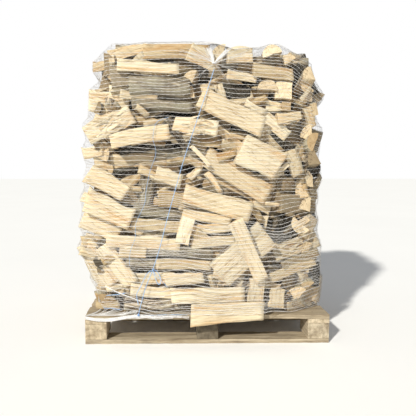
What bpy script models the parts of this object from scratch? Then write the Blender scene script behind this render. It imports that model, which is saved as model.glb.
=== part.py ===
"""A pallet of firewood: a block pallet, a loose heap of split logs, a net round it and its twine.

Metres, +Z up. The origin is the middle of the pallet's underside, and the front looks along -Y.
"""

import math
import random
from collections import namedtuple

import bmesh
import bpy
import numpy as np
from mathutils import Matrix, Vector

# Pallet
PALLET_X = 1.200
PALLET_Y = 0.800
BOARD_T = 0.022
BLOCK_X = 0.105
BLOCK_Y = 0.145
BLOCK_H = 0.078
DECK_WIDTHS = (0.145, 0.100, 0.145, 0.100, 0.145)
BOTTOM_WIDTHS = (0.100, 0.145, 0.100)
EDGE_BEVEL = 0.002
DECK_Z = 3 * BOARD_T + BLOCK_H
GAP = 0.0003

# Firewood
LOG_SIDES = 12
HEAP_LOG_SIDES = 6
LOG_GAP = 0.0020
HEAP_LOG_OVERLAP = 0.026
PUSH_STEP = 0.004
MOST_PUSHES = 30
MOST_HEAP_PUSHES = 9
TAPER = 0.05
QUARTER_DEPTH = 0.76
WEDGE_ANGLE = -76.0
SLAB_FACES = (0.16, 0.20)
HEART_RADIUS = 0.66
HEART_FACES = (0.42, 0.46, 0.44, 0.44)
BARK_BACK = 0.12
END_SKEW = 0.10
HEAP_TOP = 1.475
SHOULDER_Z = 1.20
SHOULDER_RUN = 0.25
SHOULDER_DEPTH = 0.10
CORNER_RUN = 0.17
CORNER_DEPTH = 0.13
FILL_SEED = 44
NAMED_SEED = 100
OTHERS_SEED = 500

# The courses on the sides, back and top: sizes in metres, turns in degrees
COURSE_FACE = (0.085, 0.130)
COURSE_LENGTH = (0.29, 0.35)
COURSE_RISE = (0.120, 0.140)
FIRST_COURSE = 0.195
LAST_COURSE = 1.37
STEEP_TILT = 24
END_ON_SHARE = 0.22
END_ON_YAW = 82
END_ON_LENGTH = 0.20
LEAST_GAP = 0.12
LEFT_REACH = 0.34
RIGHT_REACH = 0.29

# The mass of inner logs, which only shows between the outer ones
CORE_X = 1.02
CORE_Y = 0.63
CORE_TOP = 1.38
CORE_BEVEL = 0.17
CUT_CLEARANCE = 0.0009
ROOT_DEPTH = 0.060

# Net and twine
NET_WIRE = 0.004
NET_OFF = 0.012
NET_RUNS = (3, 1, 5, 1, 3, 1, 5, 1)
NET_ROWS = (0.172, 0.370, 0.570, 0.770, 0.970, 1.160, 1.320)
NET_WINDOW = 0.205
NET_SHOULDER = 1.435
NET_TOP_SHARES = (0.78, 0.36)
HEM_RADIUS = 0.006
TWINE_RADIUS = 0.002
TWINE_OFF = 0.018
KNOT = Vector((0.022, 0.0, 1.345))
TIE = Vector((-0.338, 0.0, 0.150))

# Where the cords run, as (x, z) on the front, from the top down or the left to the right
MAIN_TWINE = (
    (0.022, 1.318), (-0.010, 1.22), (-0.065, 1.06), (-0.118, 0.90), (-0.158, 0.76),
    (-0.200, 0.61), (-0.236, 0.47), (-0.268, 0.372), (-0.300, 0.290), (-0.325, 0.205),
)
LOWER_TWINE = ((-0.276, 0.368), (-0.298, 0.348), (-0.326, 0.290), (-0.346, 0.250), (-0.338, 0.200))
THIN_TWINE = (
    (-0.190, 1.095), (-0.245, 1.070), (-0.262, 1.000), (-0.250, 0.930), (-0.278, 0.845),
    (-0.296, 0.760), (-0.305, 0.690), (-0.345, 0.600), (-0.350, 0.530), (-0.375, 0.460),
    (-0.380, 0.390),
)
HEM = (
    (-0.596, 0.136), (-0.530, 0.126), (-0.460, 0.128), (-0.400, 0.138),
    (-0.330, 0.142), (-0.250, 0.136), (-0.170, 0.138), (-0.092, 0.136),
)

# Each side of the heap: the turn of its own frame, and how far its face lies from the middle.
SIDES = {
    "front": (0.0, PALLET_Y / 2),
    "right": (90.0, PALLET_X / 2),
    "back": (180.0, PALLET_Y / 2),
    "left": (-90.0, PALLET_X / 2),
    "top": (0.0, HEAP_TOP),
}

# A front log's x and z are where it shows on the plane of the front from this viewing point.
EYE = Vector((-0.170, -2.517, 0.866))

# One log. x and z place it on its side of the heap, along and up, in centimetres; length and face
# (the height of its split face) too. tilt, yaw and roll are degrees: tilt raises its right end, yaw
# sends its right end into the heap. depth is how far behind the side's face it starts.
Log = namedtuple("Log", "side x z length face tilt yaw roll kind depth")

# The logs that lie foremost on the front, each a piece of its own, foremost first.
FRONT_LOGS = (
    ("apron", 9.6, 15.3, 35, 10.5, 3.5, 0, 0, "half", -5.8),
    ("sill", 0.4, 24.0, 36, 7.8, 0.5, 0, 0, "quarter", -1.5),
    ("steep", 19.9, 45.8, 32, 7.4, -65, 0, 4, "half", -3.0),
    ("long_middle", 4.5, 69.3, 34, 9.8, -17, 0, -3, "quarter", -1.5),
    ("broad_low", 17.2, 44.0, 31, 16.0, 41, 0, 0, "slab", 1.2),
    ("left_bright", -32.6, 101.3, 28, 7.8, 10, 0, 0, "quarter", -2.0),
    ("big_upper", 10.8, 112.2, 33, 10.6, -26, 0, -4, "half", -1.5),
    ("left_mid", -47.4, 66.2, 24, 12.2, -22, -4, 0, "quarter", -0.5),
    ("broad_mid", 24.8, 91.0, 21, 14.6, -23, 0, 0, "half", -0.5),
    ("slope_left", -46.8, 106.8, 24, 9.8, 24, -4, 0, "quarter", 0.0),
    ("bark_upper", -23.2, 124.8, 29, 10.6, -3, 0, 0, "bark", 0.5),
    ("left_top", -47.0, 116.6, 20, 11.2, -4, -6, 0, "half", 0.5),
    ("light_upper", -28.2, 133.4, 29, 6.4, -3, 0, -8, "quarter", 0.5),
    ("left_high", -48.8, 79.4, 21, 9.6, -27, -5, 0, "quarter", 0.5),
    ("low_centre", -11.2, 32.8, 19, 6.8, 5, 0, 5, "quarter", 0.0),
    ("bright_upper", -6.4, 106.2, 21, 7.4, -6, 0, 0, "quarter", -0.5),
    ("slope_middle", 14.4, 82.2, 36, 11.0, -32, 0, -10, "quarter", 1.5),
    ("tan_left", -37.5, 89.4, 33, 8.2, 4, 0, 6, "quarter", 1.0),
    ("tan_upper", 30.4, 130.9, 19, 7.0, -5, 0, -6, "quarter", 1.0),
    ("end_square", 38.8, 121.8, 22, 9.0, 0, 82, 6, "heart", 1.0),
    ("dropped_end", 30.4, 106.8, 19, 6.8, -37, 0, 3, "quarter", 1.0),
    ("rising_low", 43.6, 48.2, 25, 9.4, 16, 12, -10, "quarter", 1.5),
    ("shaded_upper", 46.0, 101.0, 22, 12.6, -14, 22, 0, "half", 4.0),
    ("shoulder_bark", 47.8, 126.4, 23, 12.0, -44, 26, 0, "bark", 8.5),
    ("shaded_mid", 44.6, 68.6, 22, 10.4, -2, 24, 0, "heart", 2.5),
    ("bright_centre", -18.6, 82.0, 13, 7.4, -17, 0, 0, "quarter", 0.5),
    ("long_low", -31.5, 50.4, 36, 6.8, -3, 0, 4, "quarter", 1.0),
    ("grey_steep", -30.2, 74.4, 18, 9.5, 78, 0, 0, "bark", 2.5),
    ("end_mid", 28.4, 59.8, 20, 8.0, 0, 84, 12, "quarter", 1.5),
    ("rising_under", 41.4, 36.6, 25, 5.0, 20, 8, 0, "quarter", 1.5),
    ("end_top", 29.6, 138.6, 20, 10.0, 0, 84, 74, "half", 3.5),
    ("steep_left", -53.5, 40.0, 25, 9.5, -54, -12, 0, "quarter", 3.5),
    ("crest", -15.6, 140.4, 32, 8.0, 1, 0, -10, "quarter", 7.0),
)

# The other logs of the front, in the gaps between those.
FRONT_FILL = (
    (15.2, 76.4, 32, 6.8, -27, 0, -10, "quarter", 2.5),
    (-22.0, 115.4, 29, 5.6, -4, 0, 0, "bark", 2.5),
    (-33.0, 119.2, 18, 4.0, -9, 0, 20, "half", 3.5),
    (-46.0, 128.2, 20, 12.0, 0, -80, 10, "heart", 2.5),
    (-7.0, 128.4, 16, 6.5, 0, 78, 20, "quarter", 2.5),
    (-7.4, 121.6, 18, 5.5, 0, 80, -15, "half", 3.5),
    (-3.4, 136.6, 15, 8.0, -22, 0, 0, "quarter", 2.0),
    (2.6, 131.2, 18, 5.5, 0, 76, 40, "quarter", 3.0),
    (15.2, 128.4, 14, 4.2, -8, 0, 0, "quarter", 2.0),
    (12.6, 121.8, 14, 8.0, -4, 0, 0, "bark", 5.0),
    (26.8, 122.6, 20, 9.4, 0, 80, 100, "half", 1.8),
    (38.6, 115.0, 18, 4.6, 0, 82, 0, "heart", 2.2),
    (45.6, 120.8, 8, 2.2, 52, 10, 0, "slab", 4.0),
    (52.8, 117.4, 16, 6.0, 0, 104, 40, "quarter", 9.0),
    (48.2, 110.2, 10, 5.0, -66, 20, 0, "quarter", 5.0),
    (38.6, 110.0, 12, 5.0, 14, 8, 0, "quarter", 1.8),
    (-14.2, 102.4, 18, 6.5, -50, 10, 0, "bark", 2.5),
    (8.0, 101.4, 22, 4.8, -37, 0, 32, "half", 2.0),
    (10.0, 94.6, 12, 5.6, -26, 24, 30, "quarter", 3.0),
    (-3.8, 91.8, 13, 2.2, -47, 0, 0, "slab", 0.0),
    (-13.0, 92.0, 26, 6.5, -4, 0, 0, "bark", 5.5),
    (40.8, 88.4, 13, 6.8, -64, 14, 0, "quarter", 2.5),
    (33.2, 84.4, 12, 3.0, 36, 0, 0, "slab", 1.8),
    (49.0, 86.4, 18, 8.5, -6, 32, 0, "bark", 6.0),
    (48.4, 91.4, 8, 3.4, 20, 30, 0, "quarter", 6.0),
    (32.2, 78.8, 13, 6.6, 34, 12, -20, "quarter", 3.0),
    (43.5, 78.0, 18, 7.0, 0, 28, 0, "quarter", 5.5),
    (52.6, 78.0, 12, 4.6, 50, 40, 0, "quarter", 8.0),
    (26.2, 67.4, 10, 5.0, -24, 20, 0, "quarter", 4.0),
    (44.0, 60.4, 24, 5.5, 3, 22, 0, "bark", 6.5),
    (50.0, 57.0, 12, 7.0, 62, 30, 0, "quarter", 6.0),
    (43.5, 53.8, 22, 5.0, 10, 20, 0, "bark", 6.5),
    (-17.2, 70.4, 13, 7.4, -5, 0, 8, "quarter", 2.0),
    (-22.5, 64.4, 27, 6.6, -8, 0, 0, "bark", 2.5),
    (-10.8, 55.6, 13, 7.0, 76, 0, 0, "quarter", 0.8),
    (-14.0, 45.4, 33, 6.4, -4, 0, 0, "bark", 1.5),
    (-1.0, 62.2, 24, 4.6, -9, 0, 0, "quarter", 2.0),
    (2.5, 57.0, 22, 5.0, 4, 0, 10, "half", 2.5),
    (2.0, 50.4, 22, 5.5, 7, 0, -8, "quarter", 2.5),
    (-24.0, 58.6, 26, 5.4, -5, 0, 0, "half", 2.0),
    (-1.0, 43.0, 18, 5.2, -6, 0, 0, "quarter", 2.5),
    (10.2, 32.8, 16, 7.0, -24, 0, 0, "quarter", 1.0),
    (-12.0, 39.4, 27, 5.4, -2, 0, 6, "half", 1.8),
    (-52.4, 57.2, 20, 8.4, -22, -8, 0, "quarter", 2.0),
    (-53.4, 48.4, 18, 8.4, -16, -12, 0, "quarter", 2.6),
    (-36.4, 45.6, 13, 6.2, -2, 0, 0, "quarter", 0.8),
    (-45.0, 39.0, 24, 8.0, -52, -6, 0, "quarter", 2.5),
    (-39.0, 33.0, 20, 7.0, -48, 0, 0, "quarter", 3.0),
    (-51.0, 30.0, 16, 6.5, -38, -20, 0, "quarter", 9.0),
    (-30.0, 39.6, 20, 6.0, -4, 0, 0, "bark", 2.0),
    (-28.0, 32.8, 20, 6.2, 3, 0, 0, "half", 2.5),
    (-27.0, 26.0, 22, 6.2, -4, 0, 0, "quarter", 2.5),
    (-29.0, 19.2, 24, 6.0, 1, 0, 0, "bark", 2.5),
    (-13.0, 18.0, 18, 5.0, -2, 0, 0, "bark", 4.0),
    (-45.0, 22.8, 20, 9.0, -13, -30, 10, "quarter", 8.0),
    (-52.4, 26.4, 14, 6.0, 0, -96, 30, "quarter", 12.0),
    (24.2, 25.0, 14, 7.4, 86, 0, 0, "quarter", 0.0),
    (34.6, 22.0, 10, 8.0, 88, 6, 0, "quarter", 2.5),
    (45.6, 23.4, 18, 8.4, 0, 78, 35, "quarter", 3.5),
    (46.4, 32.8, 9, 3.6, -60, 20, 0, "quarter", 5.0),
    (29.8, 32.4, 14, 5.0, 12, 0, 0, "quarter", 5.0),
    (46.5, 17.8, 18, 4.6, 0, 30, 0, "half", 6.0),
    (45.4, 41.8, 20, 4.8, 19, 10, 0, "half", 2.4),
    (52.0, 34.0, 12, 5.0, 84, 60, 0, "bark", 10.0),
    (52.6, 25.4, 14, 6.5, 70, 60, 0, "quarter", 14.0),
    (6.0, 138.6, 18, 8.0, 0, 80, 10, "quarter", 5.0),
    (14.6, 137.8, 12, 7.6, 4, 0, 0, "quarter", 4.0),
    (37.4, 135.0, 16, 5.4, 0, 80, 60, "quarter", 3.0),
    (43.4, 136.6, 14, 4.6, -6, 38, 0, "quarter", 8.0),
    (46.6, 132.6, 14, 7.0, -60, 30, 0, "bark", 11.0),
    (-38.0, 139.4, 18, 6.0, 16, 0, 0, "quarter", 9.0),
    (-48.0, 134.0, 16, 5.0, 6, -20, 0, "quarter", 12.0),
    (-30.0, 95.6, 26, 3.6, 8, 0, 0, "bark", 4.5),
    (-44.0, 83.8, 22, 4.0, 8, 0, 0, "bark", 5.0),
    (-55.5, 70.0, 14, 5.0, -20, -20, 0, "quarter", 4.0),
    (-55.5, 93.5, 12, 6.0, 10, -30, 0, "quarter", 4.0),
    (34.5, 98.5, 16, 5.0, -34, 8, 0, "bark", 4.5),
    (19.0, 57.0, 16, 5.0, 4, 0, 0, "bark", 6.5),
    (32.0, 52.4, 18, 5.5, 6, 8, 0, "bark", 6.0),
)


def split_planes(kind, face):
    """A log's section: the round log's radius, and (angle, offset) of each plane that splits it.

    The section lies in Y (into the heap) and Z (up). A plane's normal points at its angle, from +Y
    towards +Z, and what lies beyond its offset is split off.
    """
    if kind == "half":
        return face / 2, ((180.0, 0.0),)
    if kind == "quarter":
        return face, ((180.0, 0.0), (WEDGE_ANGLE, 0.0))
    if kind == "slab":
        return face / 2, tuple(zip((180.0, 0.0), (face * share for share in SLAB_FACES)))
    if kind == "heart":
        offsets = (face * share for share in HEART_FACES)
        return face * HEART_RADIUS, tuple(zip((180.0, 0.0, 90.0, -90.0), offsets))
    return face / 2, ((0.0, face * BARK_BACK),)


def split_log(log, draw, sides):
    """A bmesh of one log, its axis along X and the middle of its front at the origin."""
    length = log.length / 100
    radius, planes = split_planes(log.kind, log.face / 100)
    bm = bmesh.new()
    bmesh.ops.create_cone(
        bm, cap_ends=True, segments=sides, radius1=radius, radius2=radius, depth=length,
        matrix=Matrix.Rotation(math.radians(90), 4, "Y"),
    )
    for angle, offset in planes:
        normal = Vector((0.0, math.cos(math.radians(angle)), math.sin(math.radians(angle))))
        everything = bm.verts[:] + bm.edges[:] + bm.faces[:]
        cut = bmesh.ops.bisect_plane(
            bm, geom=everything, dist=1e-6, plane_co=normal * offset, plane_no=normal, clear_outer=True
        )
        rim = [part for part in cut["geom_cut"] if isinstance(part, bmesh.types.BMEdge)]
        bmesh.ops.contextual_create(bm, geom=rim)
    if log.kind == "quarter":
        bmesh.ops.scale(bm, vec=(1.0, QUARTER_DEPTH, 1.0), verts=bm.verts)
    taper = draw.uniform(-TAPER, TAPER)
    skew = [draw.uniform(-END_SKEW, END_SKEW) for _ in range(4)]
    low = min(v.co.y for v in bm.verts)
    middle = (min(v.co.z for v in bm.verts) + max(v.co.z for v in bm.verts)) / 2
    for vert in bm.verts:
        share = 2 * vert.co.x / length
        across = Vector((0.0, vert.co.y - low, vert.co.z - middle)) * (1 + taper * share)
        end = 0 if share > 0 else 2
        across.x = vert.co.x + skew[end] * across.y + skew[end + 1] * across.z
        vert.co = across
    bmesh.ops.recalc_face_normals(bm, faces=bm.faces)
    return bm


def side_matrix(side):
    """From a side's own frame, x along it, y into the heap and z up, to the object's frame."""
    if side == "top":
        return Matrix.Rotation(math.radians(-90), 4, "X")
    return Matrix.Rotation(math.radians(SIDES[side][0]), 4, "Z")


class PlacedLog:
    """A log where it lies: its bmesh in the object's frame, and what the clearance test reads."""

    def __init__(self, log, draw, sides):
        self.log = log
        self.floor = 0.0
        self.bm = split_log(log, draw, sides)
        turn = (
            Matrix.Rotation(math.radians(log.yaw), 4, "Z")
            @ Matrix.Rotation(math.radians(-log.tilt), 4, "Y")
            @ Matrix.Rotation(math.radians(log.roll), 4, "X")
        )
        self.bm.transform(turn)
        nearest = min(v.co.y for v in self.bm.verts)
        place = Vector((log.x / 100, log.depth / 100 - SIDES[log.side][1], log.z / 100))
        inward = Vector((0.0, 1.0, 0.0))
        if log.side == "front":
            sight = Vector((place.x, -SIDES["front"][1], place.z)) - EYE
            inward = sight / sight.y
            place = EYE + inward * (place.y - EYE.y)
        if abs(log.yaw) > 50:
            place.x += math.copysign(log.length / 200, log.yaw) * math.cos(math.radians(log.yaw))
        place.y -= nearest
        self.bm.transform(side_matrix(log.side) @ Matrix.Translation(place))
        self.inward = side_matrix(log.side).to_3x3() @ inward
        self.square = side_matrix(log.side).to_3x3() @ Vector((0.0, 1.0, 0.0))
        self.bm.normal_update()
        self.points = np.array([v.co[:] for v in self.bm.verts])
        self.normals = np.array([f.normal[:] for f in self.bm.faces])
        edges = np.array([(e.verts[1].co - e.verts[0].co).normalized()[:] for e in self.bm.edges])
        edges *= np.where(edges[:, :1] < 0, -1.0, 1.0)
        self.edges = np.unique(edges.round(3), axis=0)
        if log.side != "top" and log.depth > -5:
            self.floor = DECK_Z + LOG_GAP
            self.shift(Vector())

    def shift(self, step):
        """Moves it by a vector, but not below its floor."""
        lowest = self.points[:, 2].min() + step.z
        step = step + Vector((0.0, 0.0, max(0.0, self.floor - lowest)))
        self.bm.transform(Matrix.Translation(step))
        self.points = self.points + np.array(step[:])

    def clear_of(self, other, gap):
        """True where some plane parts the two by at least the gap, which may be an overlap below 0."""
        if (self.points.min(0) > other.points.max(0) + gap).any():
            return True
        if (other.points.min(0) > self.points.max(0) + gap).any():
            return True
        crossed = np.cross(self.edges[:, None], other.edges[None]).reshape(-1, 3)
        sizes = np.linalg.norm(crossed, axis=1)
        crossed = crossed[sizes > 0.05] / sizes[sizes > 0.05, None]
        axes = np.concatenate([self.normals, other.normals, crossed])
        mine = self.points @ axes.T
        theirs = other.points @ axes.T
        parted = np.maximum(theirs.min(0) - mine.max(0), mine.min(0) - theirs.max(0))
        return bool(parted.max() > gap)


def push_clear(laid, placed, gap, most):
    """Pushes a log into the heap, by at most so many steps, until it is clear of the others."""
    for _ in range(most):
        if all(laid.clear_of(other, gap) for other in placed):
            break
        laid.shift(laid.inward * PUSH_STEP)
    return laid


def rounded_depth(along, half_width, height):
    """How far the heap's face falls back near its corners and its shoulder, in metres."""
    past_corner = max(0.0, abs(along) - (half_width - CORNER_RUN)) / CORNER_RUN
    past_shoulder = max(0.0, height - SHOULDER_Z) / SHOULDER_RUN
    return CORNER_DEPTH * past_corner**2 + SHOULDER_DEPTH * past_shoulder**2


def course(side, start, end, height, draw):
    """One rough course of logs along a side of the heap, end to end."""
    half_width = (PALLET_X + PALLET_Y) / 2 - SIDES[side][1]
    left = start + draw.uniform(0.01, 0.05)
    while left < end - LEAST_GAP:
        kind = draw.choice(("half", "quarter", "quarter", "bark", "heart"))
        face = draw.uniform(*COURSE_FACE)
        length = min(draw.uniform(*COURSE_LENGTH), end - left)
        tilt = draw.choice((0, 0, 1, -1)) * STEEP_TILT + draw.uniform(-14, 14)
        yaw = draw.uniform(-7, 7)
        wide = length * math.cos(math.radians(tilt))
        if draw.random() < END_ON_SHARE:
            yaw = draw.choice((-END_ON_YAW, END_ON_YAW))
            tilt = draw.uniform(-5, 5)
            wide, length = face, END_ON_LENGTH
        along = left + wide / 2
        depth = draw.uniform(0.005, 0.030) + rounded_depth(along, half_width, height)
        rise = draw.uniform(-0.015, 0.015)
        roll = draw.uniform(-14, 14)
        sizes = [part * 100 for part in (along, height + rise, length, face)]
        yield Log(side, *sizes, tilt, yaw, roll, kind, depth * 100)
        left += wide + draw.uniform(0.0, 0.02)


def side_logs(side, start, end, draw):
    """Courses of logs over one side of the heap."""
    height = FIRST_COURSE
    while height < LAST_COURSE:
        yield from course(side, start, end, height, draw)
        height += draw.uniform(*COURSE_RISE)


def top_logs(draw):
    """Logs over the top of the heap, lower towards its edges."""
    across = -0.25
    while across < 0.34:
        for log in course("top", -0.50, 0.50, across, draw):
            edge = max(abs(log.x) / 50, abs(across) / 0.36)
            depth = draw.uniform(0, 3) + 6 * edge**3
            yield log._replace(yaw=0, tilt=log.tilt / 2, kind="half", depth=depth)
        across += draw.uniform(*COURSE_RISE)


def lay_firewood():
    """Every outer log where it lies: (the front's named logs, the others)."""
    named = {}
    for index, (name, *sizes) in enumerate(FRONT_LOGS):
        laid = PlacedLog(Log("front", *sizes), random.Random(NAMED_SEED + index), LOG_SIDES)
        named[f"log_{index + 1:02d}_{name}"] = push_clear(laid, named.values(), LOG_GAP, MOST_PUSHES)
    draw = random.Random(FILL_SEED)
    waiting = [Log("front", *sizes) for sizes in FRONT_FILL]
    waiting += side_logs("left", -0.37, LEFT_REACH, draw)
    waiting += side_logs("right", -RIGHT_REACH, 0.37, draw)
    waiting += side_logs("back", -0.57, 0.57, draw)
    waiting += top_logs(draw)
    others = []
    for index, log in enumerate(waiting):
        laid = PlacedLog(log, random.Random(OTHERS_SEED + index), HEAP_LOG_SIDES)
        before = [*named.values(), *others]
        others.append(push_clear(laid, before, -HEAP_LOG_OVERLAP, MOST_HEAP_PUSHES))
    return named, others


def material(name, colour, roughness):
    """A plain Principled material."""
    made = bpy.data.materials.new(name)
    made.use_nodes = True
    shader = made.node_tree.nodes["Principled BSDF"]
    shader.inputs["Base Color"].default_value = (*colour, 1.0)
    shader.inputs["Roughness"].default_value = roughness
    return made


def add_object(name, mesh, finish, group):
    """An object for a mesh, in the object's collection."""
    made = bpy.data.objects.new(name, mesh)
    mesh.materials.append(finish)
    group.objects.link(made)
    return made


def mesh_of(bm, name):
    """A mesh from a bmesh, which is freed."""
    mesh = bpy.data.meshes.new(name)
    bm.to_mesh(mesh)
    bm.free()
    return mesh


def add_board(name, size, place, finish, group):
    """A sawn board or block: a cube of its size with small bevels, its middle at place."""
    bm = bmesh.new()
    bmesh.ops.create_cube(bm, size=1.0, matrix=Matrix.Diagonal((*size, 1.0)))
    board = add_object(name, mesh_of(bm, name), finish, group)
    board.location = place
    bevel = board.modifiers.new("Sawn edges", "BEVEL")
    bevel.width = EDGE_BEVEL
    bevel.segments = 1
    return board


def spread(count, whole, widths):
    """The middles of boards of these widths laid with even gaps over a whole width."""
    gap = (whole - sum(widths)) / (count - 1)
    at = -whole / 2
    for width in widths:
        yield at + width / 2
        at += width + gap


def build_pallet(group, finish):
    """Bottom boards, blocks, stringer boards and deck boards."""
    rows = list(spread(3, PALLET_Y, BOTTOM_WIDTHS))
    columns = list(spread(3, PALLET_X, (BLOCK_X,) * 3))
    block_rows = list(spread(3, PALLET_Y, (BLOCK_Y,) * 3))
    layer = BOARD_T - GAP
    for index, (y, width) in enumerate(zip(rows, BOTTOM_WIDTHS)):
        name = f"bottom_board_{index + 1}"
        add_board(name, (PALLET_X, width, layer), (0, y, layer / 2), finish, group)
    for row, y in zip(("front", "middle", "back"), block_rows):
        for column, x in zip(("left", "centre", "right"), columns):
            height = BLOCK_H - GAP
            place = (x, y, BOARD_T + height / 2)
            add_board(f"block_{row}_{column}", (BLOCK_X, BLOCK_Y, height), place, finish, group)
    for index, x in enumerate(columns):
        place = (x, 0, BOARD_T + BLOCK_H + layer / 2)
        add_board(f"stringer_board_{index + 1}", (BLOCK_X, PALLET_Y, layer), place, finish, group)
    decks = spread(5, PALLET_Y, DECK_WIDTHS)
    for index, (y, width) in enumerate(zip(decks, DECK_WIDTHS)):
        place = (0, y, DECK_Z - BOARD_T + layer / 2)
        add_board(f"deck_board_{index + 1}", (PALLET_X, width, layer), place, finish, group)


def grown(laid, distance):
    """A copy of a log, larger all round."""
    bm = laid.bm.copy()
    bm.normal_update()
    for vert, normal in [(v, v.normal.copy()) for v in bm.verts]:
        vert.co += normal * distance
    return bm


def rooted(laid):
    """A copy of a log whose back runs on into the heap."""
    bm = laid.bm.copy()
    bm.normal_update()
    for vert in [v for v in bm.verts if v.normal.dot(laid.square) > 0.15]:
        vert.co += laid.square * ROOT_DEPTH
    return bm


def largest_part(mesh, name):
    """The mesh without any scrap or closed hollow that a cut left loose."""
    bm = bmesh.new()
    bm.from_mesh(mesh)
    bmesh.ops.triangulate(bm, faces=bm.faces)
    bmesh.ops.remove_doubles(bm, verts=bm.verts, dist=2e-5)
    bmesh.ops.dissolve_degenerate(bm, edges=bm.edges, dist=2e-5)
    left = set(bm.faces)
    parts = []
    while left:
        part = [left.pop()]
        for face in part:
            for edge in [edge for edge in face.edges if len(edge.link_faces) == 2]:
                near = [other for other in edge.link_faces if other in left]
                left.difference_update(near)
                part.extend(near)
        parts.append(part)
    parts.sort(key=len)
    loose = [face for part in parts[:-1] for face in part]
    bmesh.ops.delete(bm, geom=loose, context="FACES")
    return mesh_of(bm, name)


def build_heap(named, others, group, cutters, finish):
    """The rest of the logs, joined into one solid, with the front's logs let into it."""
    bm = bmesh.new()
    height = CORE_TOP - DECK_Z - GAP
    size = Matrix.Diagonal((CORE_X, CORE_Y, height, 1.0))
    bmesh.ops.create_cube(bm, size=1.0, matrix=size)
    core = add_object("firewood_heap", mesh_of(bm, "firewood_heap"), finish, group)
    core.location = (0, 0, DECK_Z + GAP + height / 2)
    upright = core.modifiers.new("Rounded corners", "BEVEL")
    upright.width = CORE_BEVEL
    upright.segments = 2
    upright.angle_limit = math.radians(30)
    joined = bpy.data.collections.new("Joined logs")
    lets = bpy.data.collections.new("Let in logs")
    for parent, child in ((cutters, joined), (cutters, lets)):
        parent.children.link(child)
    for index, laid in enumerate(others):
        name = f"joined_{index:03d}"
        add_object(name, mesh_of(rooted(laid), name), finish, joined)
    for name, laid in named.items():
        add_object("let_" + name, mesh_of(grown(laid, CUT_CLEARANCE), "let_" + name), finish, lets)
    for helper in joined.objects[:] + lets.objects[:]:
        helper.hide_render = True
        helper.display_type = "WIRE"
    for title, operation, operands in (("Join", "UNION", joined), ("Let in", "DIFFERENCE", lets)):
        boolean = core.modifiers.new(title, "BOOLEAN")
        boolean.operation = operation
        boolean.operand_type = "COLLECTION"
        boolean.collection = operands
        boolean.solver = "EXACT"
    bpy.context.view_layer.update()
    shaped = core.evaluated_get(bpy.context.evaluated_depsgraph_get())
    whole = bpy.data.meshes.new_from_object(shaped)
    core.modifiers.clear()
    core.data = largest_part(whole, "firewood_heap_joined")
    core.data.materials.append(finish)
    return core


def ring_round(points, low, high, height):
    """The net's ring at a height: eight straight sides that touch the logs between low and high."""
    near = points[(points[:, 2] >= low) & (points[:, 2] <= high)]
    sides = len(NET_RUNS)
    turn = np.arange(sides) * 2 * math.pi / sides
    normals = np.stack([np.cos(turn), np.sin(turn)], 1)
    reach = (near[:, :2] @ normals.T).max(0) + NET_OFF
    corners = []
    for index in range(sides):
        after = [index, (index + 1) % sides]
        corner = np.linalg.solve(normals[after], reach[after])
        corners.append(Vector((corner[0], corner[1], height)))
    ring = []
    for index, count in enumerate(NET_RUNS):
        start, end = corners[index - 1], corners[index]
        ring.extend(start.lerp(end, step / count) for step in range(count))
    return ring


def net_rings(points):
    """The rings of the net, from its lower edge, over the shoulder, to the middle of the top."""
    rings = []
    for height in NET_ROWS:
        rings.append(ring_round(points, height - NET_WINDOW, height + NET_WINDOW, height))
    shoulder = ring_round(points, NET_ROWS[-1] + 0.04, 2.0, NET_SHOULDER)
    rings.append(shoulder)
    top = points[:, 2].max() + NET_OFF
    for share in NET_TOP_SHARES:
        rings.append([Vector((p.x * share, p.y * share, top)) for p in shoulder])
    return rings


def edge_points(solids):
    """Points along every edge of the solids, close enough to stand for the whole edge."""
    found = []
    for solid in solids:
        place = solid.matrix_basis
        for edge in solid.data.edges:
            start, end = (place @ solid.data.vertices[index].co for index in edge.vertices)
            count = max(1, int((end - start).length / 0.02))
            found.extend(start.lerp(end, step / count)[:] for step in range(count + 1))
    return np.array(found)


def build_net(rings, group, finish):
    """The net: a lattice of rings and uprights over the heap."""
    bm = bmesh.new()
    rows = [[bm.verts.new(point) for point in ring] for ring in rings]
    for lower, upper in zip(rows, rows[1:]):
        for index in range(len(lower)):
            after = (index + 1) % len(lower)
            bm.faces.new((lower[index], lower[after], upper[after], upper[index]))
    net = add_object("net", mesh_of(bm, "net"), finish, group)
    wires = net.modifiers.new("Threads", "WIREFRAME")
    wires.thickness = NET_WIRE
    wires.use_boundary = True
    wires.use_replace = True
    return net


def front_of_net(rings, x, z):
    """Where the net's front lies in Y, at a place across it."""
    for lower, upper in zip(rings, rings[1:]):
        if z <= upper[0].z or upper is rings[-1]:
            share = min(1.0, max(0.0, (z - lower[0].z) / (upper[0].z - lower[0].z)))
            ring = [a.lerp(b, share) for a, b in zip(lower, upper)]
            break
    for start, end in zip(ring, ring[1:] + ring[:1]):
        if start.y < 0 and end.y < 0 and start.x <= x <= end.x:
            return start.y + (end.y - start.y) * (x - start.x) / (end.x - start.x)
    return -PALLET_Y / 2 - NET_OFF


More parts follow.
